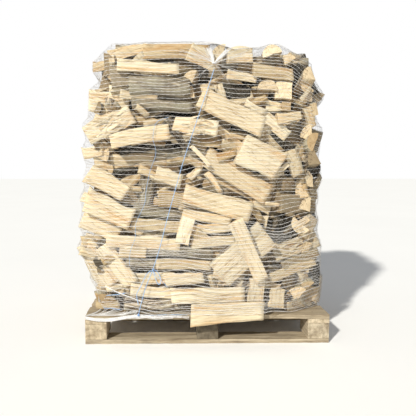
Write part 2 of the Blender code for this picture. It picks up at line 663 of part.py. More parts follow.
def add_tube(name, route, radius, finish, group, spacing):
    """A cord: a curve object with a point every spacing on a smooth line through the route."""
    through = [route[0], *route, route[-1]]
    places = []
    for before, start, end, after in zip(through, through[1:], through[2:], through[3:]):
        count = max(1, round((end - start).length / spacing))
        for step in range(count):
            t = step / count
            places.append(
                0.5 * (2 * start + (end - before) * t + (2 * before - 5 * start + 4 * end - after) * t**2
                       + (3 * start - before - 3 * end + after) * t**3)
            )
    places.append(route[-1])
    curve = bpy.data.curves.new(name, "CURVE")
    curve.dimensions = "3D"
    spline = curve.splines.new("POLY")
    spline.points.add(len(places) - 1)
    for point, place in zip(spline.points, places):
        point.co = (*place, 1.0)
    curve.bevel_depth = radius
    curve.bevel_resolution = 2
    curve.use_fill_caps = True
    made = bpy.data.objects.new(name, curve)
    curve.materials.append(finish)
    group.objects.link(made)
    return made


def on_net(rings, places, off):
    """Points (x, z) set in front of the net."""
    return [Vector((x, front_of_net(rings, x, z) - off, z)) for x, z in places]


def build_cords(rings, group, net_finish, twine_finish):
    """The twine from the gathered top to the bow and the deck, and the net's bunched lower edge."""
    down = on_net(rings, MAIN_TWINE, TWINE_OFF)
    down.append(Vector((TIE.x, -PALLET_Y / 2 - 0.012, TIE.z)))
    add_tube("twine_main", down, TWINE_RADIUS, twine_finish, group, 0.050)
    below = on_net(rings, LOWER_TWINE, TWINE_OFF + 0.007)
    add_tube("twine_lower", below, TWINE_RADIUS, twine_finish, group, 0.024)
    thin = on_net(rings, THIN_TWINE, TWINE_OFF)
    add_tube("twine_thin", thin, TWINE_RADIUS * 0.6, twine_finish, group, 0.040)
    edge = PALLET_Y / 2 + HEM_RADIUS + 0.001
    hem = [Vector((x, -edge, z)) for x, z in HEM]
    add_tube("net_hem", hem, HEM_RADIUS, net_finish, group, 0.028)


def build_gather(rings, group, cutters, finish):
    """The knot that draws the net together, with the drawn-up folds above it."""
    front = front_of_net(rings, KNOT.x, KNOT.z) - 0.018
    middle = Matrix.Translation((KNOT.x, front, KNOT.z))
    bm = bmesh.new()
    bmesh.ops.create_uvsphere(bm, u_segments=10, v_segments=6, radius=0.010, matrix=middle)
    gather = add_object("net_gather", mesh_of(bm, "net_gather"), finish, group)
    for name, lean, length in (("fold_left", -20, 0.078), ("fold_right", 50, 0.088)):
        turn = Matrix.Rotation(math.radians(lean), 4, "Y")
        lie = middle @ turn @ Matrix.Diagonal((1.0, 0.55, 1.0, 1.0))
        bm = bmesh.new()
        bmesh.ops.create_cone(
            bm, cap_ends=True, segments=8, radius1=0.004, radius2=0.009, depth=length,
            matrix=lie @ Matrix.Translation((0.0, 0.0, length / 2)),
        )
        fold = add_object(name, mesh_of(bm, name), finish, cutters)
        fold.hide_render = True
        fold.display_type = "WIRE"
        union = gather.modifiers.new("Join " + name, "BOOLEAN")
        union.operation = "UNION"
        union.solver = "EXACT"
        union.object = fold
    return gather


def main():
    for old in list(bpy.data.objects):
        bpy.data.objects.remove(old)
    group = bpy.data.collections.new("Pallet of firewood")
    cutters = bpy.data.collections.new("Cutters")
    for made in (group, cutters):
        bpy.context.scene.collection.children.link(made)
    pallet_wood = material("Weathered pallet wood", (0.36, 0.29, 0.20), 0.85)
    split_wood = material("Split firewood", (0.72, 0.55, 0.32), 0.80)
    bark_wood = material("Firewood heap", (0.55, 0.42, 0.25), 0.85)
    net_thread = material("White net", (0.86, 0.85, 0.82), 0.60)
    blue_twine = material("Pale blue twine", (0.45, 0.62, 0.85), 0.55)
    build_pallet(group, pallet_wood)
    named, others = lay_firewood()
    solids = [build_heap(named, others, group, cutters, bark_wood)]
    for name, laid in named.items():
        solids.append(add_object(name, mesh_of(laid.bm.copy(), name), split_wood, group))
    rings = net_rings(edge_points(solids))
    build_net(rings, group, net_thread)
    build_cords(rings, group, net_thread, blue_twine)
    build_gather(rings, group, cutters, net_thread)


main()
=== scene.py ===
"""The looks of a pallet of firewood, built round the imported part: logs, net, twine and pallet.

Metres, +Z up, in the part's own frame. The front looks along -Y.
"""

from __future__ import annotations

import itertools
import logging
from collections.abc import Callable, Iterable, Iterator, Sequence
from dataclasses import dataclass, replace
from enum import Enum, IntEnum
from math import copysign, cos, exp, hypot, pi, radians, sin
from random import Random

import bmesh
import bpy
import numpy as np
from bpy.types import Material, Mesh, NodeSocket, Object
from mathutils import Matrix, Vector


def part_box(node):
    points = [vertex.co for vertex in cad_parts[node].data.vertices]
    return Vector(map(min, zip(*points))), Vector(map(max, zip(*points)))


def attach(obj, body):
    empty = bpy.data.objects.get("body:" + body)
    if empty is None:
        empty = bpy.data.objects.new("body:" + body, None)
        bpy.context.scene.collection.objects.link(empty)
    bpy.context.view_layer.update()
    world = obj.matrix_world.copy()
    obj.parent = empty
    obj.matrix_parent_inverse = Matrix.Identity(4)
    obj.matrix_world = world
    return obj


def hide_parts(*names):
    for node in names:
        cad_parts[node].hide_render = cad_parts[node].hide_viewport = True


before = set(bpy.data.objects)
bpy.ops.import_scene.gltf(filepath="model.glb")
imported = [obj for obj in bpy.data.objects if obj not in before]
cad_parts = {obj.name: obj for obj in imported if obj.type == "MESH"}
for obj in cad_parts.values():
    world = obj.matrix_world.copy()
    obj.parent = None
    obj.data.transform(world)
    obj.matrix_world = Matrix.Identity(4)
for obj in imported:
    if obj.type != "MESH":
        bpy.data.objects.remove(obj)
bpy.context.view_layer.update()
LOGGER = logging.getLogger("firewood")

# Pallet and heap, as the part's own source has them
PALLET_X = 1.200
PALLET_Y = 0.800
DECK_Z = 0.144
HEAP_TOP = 1.475
LOG_SIDES = 12
HEAP_LOG_SIDES = 6
LOG_GAP = 0.0020
HEAP_LOG_OVERLAP = 0.026
PUSH_STEP = 0.004
MOST_PUSHES = 30
MOST_HEAP_PUSHES = 9
TAPER = 0.05
QUARTER_DEPTH = 0.76
WEDGE_ANGLE = -76.0
SLAB_FACES = (0.16, 0.20)
HEART_RADIUS = 0.66
HEART_FACES = (0.42, 0.46, 0.44, 0.44)
BARK_BACK = 0.12
END_SKEW = 0.10
SHOULDER_Z = 1.20
SHOULDER_RUN = 0.25
SHOULDER_DEPTH = 0.10
CORNER_RUN = 0.17
CORNER_DEPTH = 0.13
FILL_SEED = 44
NAMED_SEED = 100
OTHERS_SEED = 500
COURSE_FACE = (0.085, 0.130)
COURSE_LENGTH = (0.29, 0.35)
COURSE_RISE = (0.120, 0.140)
FIRST_COURSE = 0.195
LAST_COURSE = 1.37
STEEP_TILT = 24
END_ON_SHARE = 0.22
END_ON_YAW = 82
END_ON_LENGTH = 0.20
LEAST_GAP = 0.12
LEFT_REACH = 0.34
RIGHT_REACH = 0.29

# A log turned by more degrees shows its end, and one further out hangs before the deck
END_ON_FROM = 50
HANGS_FROM = -5

# Each side of the heap: the turn of its own frame, and how far its face lies from the middle
SIDES = {
    "front": (0.0, PALLET_Y / 2),
    "right": (90.0, PALLET_X / 2),
    "back": (180.0, PALLET_Y / 2),
    "left": (-90.0, PALLET_X / 2),
    "top": (0.0, HEAP_TOP),
}

# A front log's x and z are where it shows on the plane of the front from this viewing point
EYE = Vector((-0.170, -2.517, 0.866))
KNOT = Vector((0.022, 0.0, 1.345))
TIE = Vector((-0.338, 0.0, 0.150))


class Split(str, Enum):
    """How a log was split from a round one."""

    HALF = "half"
    QUARTER = "quarter"
    SLAB = "slab"
    HEART = "heart"
    BARK = "bark"


class Skin(IntEnum):
    """The surfaces of a log, which are its material slots."""

    SPLIT = 0
    BARK = 1
    END = 2


class Look(Enum):
    """A log's colour: brightness, warmth and greyness, each from 0 to 1. The two darkest are painted shade.
    """

    WHITE = (1.00, 0.08, 0.00)
    PALE = (0.90, 0.24, 0.02)
    CREAM = (0.82, 0.40, 0.04)
    TAN = (0.72, 0.66, 0.06)
    ORANGE = (0.60, 0.95, 0.04)
    # Brown: the wood's own tone where it is drawn at random, and painted shade where the front's tables set
    # it on pieces in shadow
    BROWN = (0.40, 0.72, 0.10)
    OLIVE = (0.58, 0.20, 0.70)
    # Painted shade: near black bark for pieces that stand in for the heap's shadowed gaps and holes
    DARK = (0.15, 0.30, 0.10)
    # Painted shade: near black wood for the inner logs, seen only through the gaps
    DEEP = (0.09, 0.50, 0.40)


@dataclass(frozen=True)
class Log:
    """One log: where it lies on its side of the heap, and how it is cut and turned.

    x and z place it along its side and up, in centimetres; length and face (the height of its split
    face) too. tilt raises its right end, yaw sends its right end into the heap, in degrees. depth is
    how far behind the side's face it starts.
    """

    side: str
    x: float
    z: float
    length: float
    face: float
    tilt: float
    yaw: float
    roll: float
    kind: Split
    depth: float
    look: Look | None = None


# The logs that lie foremost on the front, each a piece of its own, foremost first. On the right end, their
# brown and near black looks are painted shade.
FRONT_LOGS = (
    ("apron", 9.6, 15.3, 35, 10.5, 3.5, 0, 0, "half", -5.8, "PALE"),
    ("sill", 0.4, 24.0, 36, 7.8, 0.5, 0, 0, "quarter", -1.5, "WHITE"),
    ("steep", 19.9, 45.8, 32, 7.4, -65, 0, 4, "half", -3.0, "PALE"),
    ("long_middle", 4.5, 69.3, 34, 9.8, -17, 0, -3, "quarter", -1.5, "PALE"),
    ("broad_low", 17.2, 44.0, 31, 16.0, 41, 0, 0, "slab", 1.2, "PALE"),
    ("left_bright", -32.6, 101.3, 28, 7.8, 10, 0, 0, "quarter", -2.0, "PALE"),
    ("big_upper", 10.8, 112.2, 33, 10.6, -26, 0, -4, "half", -1.5, "CREAM"),
    ("left_mid", -47.4, 66.2, 24, 12.2, -22, -4, 0, "quarter", -0.5, "PALE"),
    ("broad_mid", 24.8, 91.0, 21, 14.6, -23, 0, 0, "half", -0.5, "PALE"),
    ("slope_left", -46.8, 106.8, 24, 9.8, 24, -4, 0, "quarter", 0.0, "PALE"),
    ("bark_upper", -23.2, 124.8, 29, 10.6, -3, 0, 0, "bark", 0.5, "OLIVE"),
    ("left_top", -47.0, 116.6, 20, 11.2, -4, -6, 0, "half", 0.5, "WHITE"),
    ("light_upper", -28.2, 133.4, 29, 6.4, -3, 0, -8, "quarter", 0.5, "WHITE"),
    ("left_high", -48.8, 79.4, 21, 9.6, -27, -5, 0, "quarter", 0.5, "PALE"),
    ("low_centre", -11.2, 32.8, 19, 6.8, 5, 0, 5, "quarter", 0.0, "WHITE"),
    ("bright_upper", -6.4, 106.2, 21, 7.4, -6, 0, 0, "quarter", -0.5, "WHITE"),
    ("slope_middle", 14.4, 82.2, 36, 11.0, -32, 0, -10, "quarter", 1.5, "CREAM"),
    ("tan_left", -37.5, 89.4, 33, 8.2, 4, 0, 6, "quarter", 1.0, "CREAM"),
    ("tan_upper", 30.4, 130.9, 19, 7.0, -5, 0, -6, "quarter", 1.0, "TAN"),
    ("end_square", 38.8, 121.8, 22, 9.0, 0, 82, 6, "heart", 1.0, "WHITE"),
    ("dropped_end", 30.4, 106.8, 19, 6.8, -37, 0, 3, "quarter", 1.0, "WHITE"),
    ("rising_low", 43.6, 48.2, 25, 9.4, 16, 12, -10, "quarter", 1.5, "CREAM"),
    ("shaded_upper", 46.0, 101.0, 22, 12.6, -14, 22, 0, "half", 4.0, "BROWN"),
    ("shoulder_bark", 47.8, 126.4, 23, 12.0, -44, 26, 0, "bark", 8.5, "DARK"),
    ("shaded_mid", 44.6, 68.6, 22, 10.4, -2, 24, 0, "heart", 2.5, "BROWN"),
    ("bright_centre", -18.6, 82.0, 13, 7.4, -17, 0, 0, "quarter", 0.5, "PALE"),
    ("long_low", -31.5, 50.4, 36, 6.8, -3, 0, 4, "quarter", 1.0, "PALE"),
    ("grey_steep", -30.2, 74.4, 18, 9.5, 78, 0, 0, "bark", 2.5, "OLIVE"),
    ("end_mid", 28.4, 59.8, 20, 8.0, 0, 84, 12, "quarter", 1.5, "WHITE"),
    ("rising_under", 41.4, 36.6, 25, 5.0, 20, 8, 0, "quarter", 1.5, "TAN"),
    ("end_top", 29.6, 138.6, 20, 10.0, 0, 84, 74, "half", 3.5, "WHITE"),
    ("steep_left", -53.5, 40.0, 25, 9.5, -54, -12, 0, "quarter", 3.5, "CREAM"),
    ("crest", -15.6, 140.4, 32, 8.0, 1, 0, -10, "quarter", 7.0, "TAN"),
)
# The other logs of the front, in the gaps between those; the near black bark ones are painted shade in the
# shadowed gaps
FRONT_FILL = (
    (15.2, 76.4, 32, 6.8, -27, 0, -10, "quarter", 2.5, "TAN"),
    (-22.0, 115.4, 29, 5.6, -4, 0, 0, "bark", 2.5, "OLIVE"),
    (-33.0, 119.2, 18, 4.0, -9, 0, 20, "half", 3.5, "PALE"),
    (-46.0, 128.2, 20, 12.0, 0, -80, 10, "heart", 2.5, "OLIVE"),
    (-7.0, 128.4, 16, 6.5, 0, 78, 20, "quarter", 2.5, "CREAM"),
    (-7.4, 121.6, 18, 5.5, 0, 80, -15, "half", 3.5, "CREAM"),
    (-3.4, 136.6, 15, 8.0, -22, 0, 0, "quarter", 2.0, "PALE"),
    (2.6, 131.2, 18, 5.5, 0, 76, 40, "quarter", 3.0, "PALE"),
    (15.2, 128.4, 14, 4.2, -8, 0, 0, "quarter", 2.0, "PALE"),
    (12.6, 121.8, 14, 8.0, -4, 0, 0, "bark", 5.0, "DARK"),
    (26.8, 122.6, 20, 9.4, 0, 80, 100, "half", 1.8, "CREAM"),
    (38.6, 115.0, 18, 4.6, 0, 82, 0, "heart", 2.2, "ORANGE"),
    (45.6, 120.8, 8, 2.2, 52, 10, 0, "slab", 4.0, "PALE"),
    (52.8, 117.4, 16, 6.0, 0, 104, 40, "quarter", 9.0, "BROWN"),
    (48.2, 110.2, 10, 5.0, -66, 20, 0, "quarter", 5.0, "CREAM"),
    (38.6, 110.0, 12, 5.0, 14, 8, 0, "quarter", 1.8, "CREAM"),
    (-14.2, 102.4, 18, 6.5, -50, 10, 0, "bark", 2.5, "BROWN"),
    (8.0, 101.4, 22, 4.8, -37, 0, 32, "half", 2.0, "CREAM"),
    (10.0, 94.6, 12, 5.6, -26, 24, 30, "quarter", 3.0, "CREAM"),
    (-3.8, 91.8, 13, 2.2, -47, 0, 0, "slab", 0.0, "WHITE"),
    (-13.0, 92.0, 26, 6.5, -4, 0, 0, "bark", 5.5, "OLIVE"),
    (40.8, 88.4, 13, 6.8, -64, 14, 0, "quarter", 2.5, "CREAM"),
    (33.2, 84.4, 12, 3.0, 36, 0, 0, "slab", 1.8, "CREAM"),
    (49.0, 86.4, 18, 8.5, -6, 32, 0, "bark", 6.0, "DARK"),
    (48.4, 91.4, 8, 3.4, 20, 30, 0, "quarter", 6.0, "CREAM"),
    (32.2, 78.8, 13, 6.6, 34, 12, -20, "quarter", 3.0, "CREAM"),
    (43.5, 78.0, 18, 7.0, 0, 28, 0, "quarter", 5.5, "BROWN"),
    (52.6, 78.0, 12, 4.6, 50, 40, 0, "quarter", 8.0, "BROWN"),
    (26.2, 67.4, 10, 5.0, -24, 20, 0, "quarter", 4.0, "PALE"),
    (44.0, 60.4, 24, 5.5, 3, 22, 0, "bark", 6.5, "DARK"),
    (50.0, 57.0, 12, 7.0, 62, 30, 0, "quarter", 6.0, "TAN"),
    (43.5, 53.8, 22, 5.0, 10, 20, 0, "bark", 6.5, "DARK"),
    (-17.2, 70.4, 13, 7.4, -5, 0, 8, "quarter", 2.0, "ORANGE"),
    (-22.5, 64.4, 27, 6.6, -8, 0, 0, "bark", 2.5, "OLIVE"),
    (-10.8, 55.6, 13, 7.0, 76, 0, 0, "quarter", 0.8, "WHITE"),
    (-14.0, 45.4, 33, 6.4, -4, 0, 0, "bark", 1.5, "OLIVE"),
    (-1.0, 62.2, 24, 4.6, -9, 0, 0, "quarter", 2.0, "PALE"),
    (2.5, 57.0, 22, 5.0, 4, 0, 10, "half", 2.5, "PALE"),
    (2.0, 50.4, 22, 5.5, 7, 0, -8, "quarter", 2.5, "CREAM"),
    (-24.0, 58.6, 26, 5.4, -5, 0, 0, "half", 2.0, "TAN"),
    (-1.0, 43.0, 18, 5.2, -6, 0, 0, "quarter", 2.5, "PALE"),
    (10.2, 32.8, 16, 7.0, -24, 0, 0, "quarter", 1.0, "PALE"),
    (-12.0, 39.4, 27, 5.4, -2, 0, 6, "half", 1.8, "CREAM"),
    (-52.4, 57.2, 20, 8.4, -22, -8, 0, "quarter", 2.0, "PALE"),
    (-53.4, 48.4, 18, 8.4, -16, -12, 0, "quarter", 2.6, "PALE"),
    (-36.4, 45.6, 13, 6.2, -2, 0, 0, "quarter", 0.8, "CREAM"),
    (-45.0, 39.0, 24, 8.0, -52, -6, 0, "quarter", 2.5, "PALE"),
    (-39.0, 33.0, 20, 7.0, -48, 0, 0, "quarter", 3.0, "PALE"),
    (-51.0, 30.0, 16, 6.5, -38, -20, 0, "quarter", 9.0, "CREAM"),
    (-30.0, 39.6, 20, 6.0, -4, 0, 0, "bark", 2.0, "OLIVE"),
    (-28.0, 32.8, 20, 6.2, 3, 0, 0, "half", 2.5, "PALE"),
    (-27.0, 26.0, 22, 6.2, -4, 0, 0, "quarter", 2.5, "PALE"),
    (-29.0, 19.2, 24, 6.0, 1, 0, 0, "bark", 2.5, "PALE"),
    (-13.0, 18.0, 18, 5.0, -2, 0, 0, "bark", 4.0, "TAN"),
    (-45.0, 22.8, 20, 9.0, -13, -30, 10, "quarter", 8.0, "ORANGE"),
    (-52.4, 26.4, 14, 6.0, 0, -96, 30, "quarter", 12.0, "ORANGE"),
    (24.2, 25.0, 14, 7.4, 86, 0, 0, "quarter", 0.0, "PALE"),
    (34.6, 22.0, 10, 8.0, 88, 6, 0, "quarter", 2.5, "CREAM"),
    (45.6, 23.4, 18, 8.4, 0, 78, 35, "quarter", 3.5, "CREAM"),
    (46.4, 32.8, 9, 3.6, -60, 20, 0, "quarter", 5.0, "PALE"),
    (29.8, 32.4, 14, 5.0, 12, 0, 0, "quarter", 5.0, "PALE"),
    (46.5, 17.8, 18, 4.6, 0, 30, 0, "half", 6.0, "CREAM"),
    (45.4, 41.8, 20, 4.8, 19, 10, 0, "half", 2.4, "BROWN"),
    (52.0, 34.0, 12, 5.0, 84, 60, 0, "bark", 10.0, "DARK"),
    (52.6, 25.4, 14, 6.5, 70, 60, 0, "quarter", 14.0, "TAN"),
    (6.0, 138.6, 18, 8.0, 0, 80, 10, "quarter", 5.0, "WHITE"),
    (14.6, 137.8, 12, 7.6, 4, 0, 0, "quarter", 4.0, "PALE"),
    (37.4, 135.0, 16, 5.4, 0, 80, 60, "quarter", 3.0, "CREAM"),
    (43.4, 136.6, 14, 4.6, -6, 38, 0, "quarter", 8.0, "CREAM"),
    (46.6, 132.6, 14, 7.0, -60, 30, 0, "bark", 11.0, "DARK"),
    (-38.0, 139.4, 18, 6.0, 16, 0, 0, "quarter", 9.0, "PALE"),
    (-48.0, 134.0, 16, 5.0, 6, -20, 0, "quarter", 12.0, "TAN"),
    (-30.0, 95.6, 26, 3.6, 8, 0, 0, "bark", 4.5, "DARK"),
    (-44.0, 83.8, 22, 4.0, 8, 0, 0, "bark", 5.0, "DARK"),
    (-55.5, 70.0, 14, 5.0, -20, -20, 0, "quarter", 4.0, "PALE"),
    (-55.5, 93.5, 12, 6.0, 10, -30, 0, "quarter", 4.0, "CREAM"),
    (34.5, 98.5, 16, 5.0, -34, 8, 0, "bark", 4.5, "DARK"),
    (19.0, 57.0, 16, 5.0, 4, 0, 0, "bark", 6.5, "DARK"),
    (32.0, 52.4, 18, 5.5, 6, 8, 0, "bark", 6.0, "DARK"),
)


def plane_normal(angle: float) -> Vector:
    """The normal, in a log's section, of a split at an angle in degrees from +Y towards +Z."""
    return Vector((0.0, cos(radians(angle)), sin(radians(angle))))


def split_planes(kind: Split, face: float) -> tuple[float, tuple[tuple[float, float], ...]]:
    """A log's section.

    Args:
        kind: How the log is split.
        face: The height of its split face.

    Returns:
        The round log's radius, and the (angle, offset) of each plane that splits it.
    """
    if kind is Split.HALF:
        return face / 2, ((180.0, 0.0),)
    if kind is Split.QUARTER:
        return face, ((180.0, 0.0), (WEDGE_ANGLE, 0.0))
    if kind is Split.SLAB:
        return face / 2, tuple(zip((180.0, 0.0), (face * share for share in SLAB_FACES)))
    if kind is Split.HEART:
        offsets = (face * share for share in HEART_FACES)
        return face * HEART_RADIUS, tuple(zip((180.0, 0.0, 90.0, -90.0), offsets))
    return face / 2, ((0.0, face * BARK_BACK),)


def side_matrix(side: str) -> Matrix:
    """From a side's own frame, x along it, y into the heap and z up, to the object's frame."""
    if side == "top":
        return Matrix.Rotation(radians(-90), 4, "X")
    return Matrix.Rotation(radians(SIDES[side][0]), 4, "Z")


class PlacedLog:
    """A log where it lies: the plain section that finds its place, and the map that places its detail."""

    def __init__(self, log: Log, draw: Random, sides: int) -> None:
        """Cuts the plain section and lays it at its place.

        Args:
            log: The log.
            draw: Where its taper and the slant of its ends come from.
            sides: How many sides its round part has.
        """
        self.log = log
        self.length = log.length / 100
        self.face = log.face / 100
        bm = self._section(sides)
        self.taper = draw.uniform(-TAPER, TAPER)
        self.skew = [draw.uniform(-END_SKEW, END_SKEW) for _ in range(4)]
        points = np.array([v.co[:] for v in bm.verts])
        self.low = points[:, 1].min()
        self.middle = (points[:, 2].min() + points[:, 2].max()) / 2
        self.turn = (
            Matrix.Rotation(radians(log.yaw), 4, "Z")
            @ Matrix.Rotation(radians(-log.tilt), 4, "Y")
            @ Matrix.Rotation(radians(log.roll), 4, "X")
        )
        tapered = self._tapered(points)
        nearest = (tapered @ np.array(self.turn.to_3x3()).T)[:, 1].min()
        place = Vector((log.x / 100, log.depth / 100 - SIDES[log.side][1], log.z / 100))
        inward = Vector((0.0, 1.0, 0.0))
        if log.side == "front":
            sight = Vector((place.x, -SIDES["front"][1], place.z)) - EYE
            inward = sight / sight.y
            place = EYE + inward * (place.y - EYE.y)
        if abs(log.yaw) > END_ON_FROM:
            place.x += copysign(self.length / 2, log.yaw) * cos(radians(log.yaw))
        place.y -= nearest
        self.matrix = side_matrix(log.side) @ Matrix.Translation(place) @ self.turn
        self.inward = side_matrix(log.side).to_3x3() @ inward
        for vert, point in zip(bm.verts, tapered):
            vert.co = self.matrix @ Vector(point)
        bmesh.ops.recalc_face_normals(bm, faces=bm.faces)
        bm.normal_update()
        self.points = np.array([v.co[:] for v in bm.verts])
        self.normals = np.array([f.normal[:] for f in bm.faces])
        edges = np.array([(e.verts[1].co - e.verts[0].co).normalized()[:] for e in bm.edges])
        edges *= np.where(edges[:, :1] < 0, -1.0, 1.0)
        self.edges = np.unique(edges.round(3), axis=0)
        self.lines = np.array([[v.co[:] for v in e.verts] for e in bm.edges])
        bm.free()
        self.floor = 0.0
        if log.side != "top" and log.depth > HANGS_FROM:
            self.floor = DECK_Z + LOG_GAP
            self.shift(Vector())

    def _section(self, sides: int) -> bmesh.types.BMesh:
        """The plain split log at the origin, its axis along X.

        Args:
            sides: How many sides its round part has.

        Returns:
            Its mesh.
        """
        radius, planes = split_planes(self.log.kind, self.face)
        bm = bmesh.new()
        lie = Matrix.Rotation(radians(90), 4, "Y")
        bmesh.ops.create_cone(
            bm, cap_ends=True, segments=sides, radius1=radius, radius2=radius,
            depth=self.length, matrix=lie,
        )
        for angle, offset in planes:
            normal = plane_normal(angle)
            cut = bmesh.ops.bisect_plane(
                bm, geom=bm.verts[:] + bm.edges[:] + bm.faces[:], dist=1e-6,
                plane_co=normal * offset, plane_no=normal, clear_outer=True,
            )
            rim = [part for part in cut["geom_cut"] if isinstance(part, bmesh.types.BMEdge)]
            bmesh.ops.contextual_create(bm, geom=rim)
        if self.log.kind is Split.QUARTER:
            bmesh.ops.scale(bm, vec=(1.0, QUARTER_DEPTH, 1.0), verts=bm.verts)
        return bm

    def _tapered(self, points: np.ndarray) -> np.ndarray:
        """Points of the straight section, tapered along the log and with slanted ends."""
        share = 2 * points[:, 0] / self.length
        across = (points[:, 1:] - (self.low, self.middle)) * (1 + self.taper * share[:, None])
        slants = np.where(share[:, None] > 0, self.skew[:2], self.skew[2:])
        along = points[:, 0] + (slants * across).sum(1)
        return np.column_stack([along, across])

    def placed(self, points: np.ndarray) -> np.ndarray:
        """Points of the straight section, where they are on the laid log."""
        return self._tapered(points) @ np.array(self.matrix.to_3x3()).T + np.array(self.matrix.translation)

    def shift(self, step: Vector) -> None:
        """Moves it by a vector, but not below its floor."""
        lowest = self.points[:, 2].min() + step.z
        step = step + Vector((0.0, 0.0, max(0.0, self.floor - lowest)))
        self.matrix = Matrix.Translation(step) @ self.matrix
        self.points = self.points + np.array(step[:])
        self.lines = self.lines + np.array(step[:])

    def clear_of(self, other: PlacedLog, gap: float) -> bool:
        """True where some plane parts the two by at least the gap, which may be an overlap below 0.

        Args:
            other: The other log.
            gap: The least gap.

        Returns:
            Whether they are clear.
        """
        if (self.points.min(0) > other.points.max(0) + gap).any():
            return True
        if (other.points.min(0) > self.points.max(0) + gap).any():
            return True
        crossed = np.cross(self.edges[:, None], other.edges[None]).reshape(-1, 3)
        sizes = np.linalg.norm(crossed, axis=1)
        crossed = crossed[sizes > 0.05] / sizes[sizes > 0.05, None]
        axes = np.concatenate([self.normals, other.normals, crossed])
        mine = self.points @ axes.T
        theirs = other.points @ axes.T
        parted = np.maximum(theirs.min(0) - mine.max(0), mine.min(0) - theirs.max(0))
        return bool(parted.max() > gap)


class Layout:
    """Where every outer log lies, found in the same way as the part's own solids."""

    def __init__(self) -> None:
        """Lays the front's named logs, then the others, each pushed in until it is clear."""
        self.named: dict[str, PlacedLog] = {}
        for index, (name, *sizes) in enumerate(FRONT_LOGS):
            laid = PlacedLog(self._row("front", sizes), Random(NAMED_SEED + index), LOG_SIDES)
            key = f"log_{index + 1:02d}_{name}"
            self.named[key] = self.pushed(laid, self.named.values(), LOG_GAP, MOST_PUSHES)
        draw = Random(FILL_SEED)
        waiting = [self._row("front", sizes) for sizes in FRONT_FILL]
        waiting += self._side_logs("left", -0.37, LEFT_REACH, draw)
        waiting += self._side_logs("right", -RIGHT_REACH, 0.37, draw)
        waiting += self._side_logs("back", -0.57, 0.57, draw)
        waiting += self._top_logs(draw)
        self.others: list[PlacedLog] = []
        for index, log in enumerate(waiting):
            laid = PlacedLog(log, Random(OTHERS_SEED + index), HEAP_LOG_SIDES)
            before = [*self.named.values(), *self.others]
            self.others.append(self.pushed(laid, before, -HEAP_LOG_OVERLAP, MOST_HEAP_PUSHES))

    def everything(self) -> list[PlacedLog]:
        """Every laid log."""
        return [*self.named.values(), *self.others]

    def edge_points(self, spacing: float = 0.02) -> np.ndarray:
        """Points along every edge of every plain section, at most so far apart."""
        found = []
        for laid in self.everything():
            for start, end in laid.lines:
                count = max(1, int(np.linalg.norm(end - start) / spacing))
                shares = np.linspace(0, 1, count + 1)[:, None]
                found.append(start + (end - start) * shares)
        return np.concatenate(found)

    @staticmethod
    def _row(side: str, sizes: Sequence) -> Log:
        """A log from a row of the tables."""
        *numbers, kind, depth, look = sizes
        return Log(side, *numbers, Split(kind), depth, Look[look])

    @staticmethod
    def pushed(laid: PlacedLog, placed: Iterable[PlacedLog], gap: float, most: int) -> PlacedLog:
        """Pushes a log into the heap, by at most so many steps, until it is clear of the others.

        Args:
            laid: The log.
            placed: The others.
            gap: The least gap to them.
            most: The most steps.

        Returns:
            The log.
        """
        placed = list(placed)
        for _ in range(most):
            if all(laid.clear_of(other, gap) for other in placed):
                break
            laid.shift(laid.inward * PUSH_STEP)
        return laid

    @staticmethod
    def rounded_depth(along: float, half_width: float, height: float) -> float:
        """How far the heap's face falls back near its corners and its shoulder, in metres."""
        past_corner = max(0.0, abs(along) - (half_width - CORNER_RUN)) / CORNER_RUN
        past_shoulder = max(0.0, height - SHOULDER_Z) / SHOULDER_RUN
        return CORNER_DEPTH * past_corner**2 + SHOULDER_DEPTH * past_shoulder**2

    def _course(self, side: str, start: float, end: float, height: float, draw: Random) -> Iterator[Log]:
        """One rough course of logs along a side of the heap, end to end.

        Args:
            side: The side.
            start: Where it starts along the side, in metres.
            end: Where it ends.
            height: How high its logs are.
            draw: Where its logs' sizes and turns come from.

        Returns:
            Its logs.
        """
        half_width = (PALLET_X + PALLET_Y) / 2 - SIDES[side][1]
        left = start + draw.uniform(0.01, 0.05)
        while left < end - LEAST_GAP:
            kind = draw.choice(("half", "quarter", "quarter", "bark", "heart"))
            face = draw.uniform(*COURSE_FACE)
            length = min(draw.uniform(*COURSE_LENGTH), end - left)
            tilt = draw.choice((0, 0, 1, -1)) * STEEP_TILT + draw.uniform(-14, 14)
            yaw = draw.uniform(-7, 7)
            wide = length * cos(radians(tilt))
            if draw.random() < END_ON_SHARE:
                yaw = draw.choice((-END_ON_YAW, END_ON_YAW))
                tilt = draw.uniform(-5, 5)
                wide, length = face, END_ON_LENGTH
            along = left + wide / 2
            depth = draw.uniform(0.005, 0.030) + self.rounded_depth(along, half_width, height)
            rise = draw.uniform(-0.015, 0.015)
            roll = draw.uniform(-14, 14)
            sizes = [part * 100 for part in (along, height + rise, length, face)]
            yield Log(side, *sizes, tilt, yaw, roll, Split(kind), depth * 100)
            left += wide + draw.uniform(0.0, 0.02)

    def _side_logs(self, side: str, start: float, end: float, draw: Random) -> Iterator[Log]:
        """Courses of logs over one side of the heap."""
        height = FIRST_COURSE
        while height < LAST_COURSE:
            yield from self._course(side, start, end, height, draw)
            height += draw.uniform(*COURSE_RISE)

    def _top_logs(self, draw: Random) -> Iterator[Log]:
        """Logs over the top of the heap, lower towards its edges."""
        across = -0.25
        while across < 0.34:
            for log in self._course("top", -0.50, 0.50, across, draw):
                edge = max(abs(log.x) / 50, abs(across) / 0.36)
                depth = draw.uniform(0, 3) + 6 * edge**3
                yield replace(log, yaw=0, tilt=log.tilt / 2, kind=Split.HALF, depth=depth)
            across += draw.uniform(*COURSE_RISE)


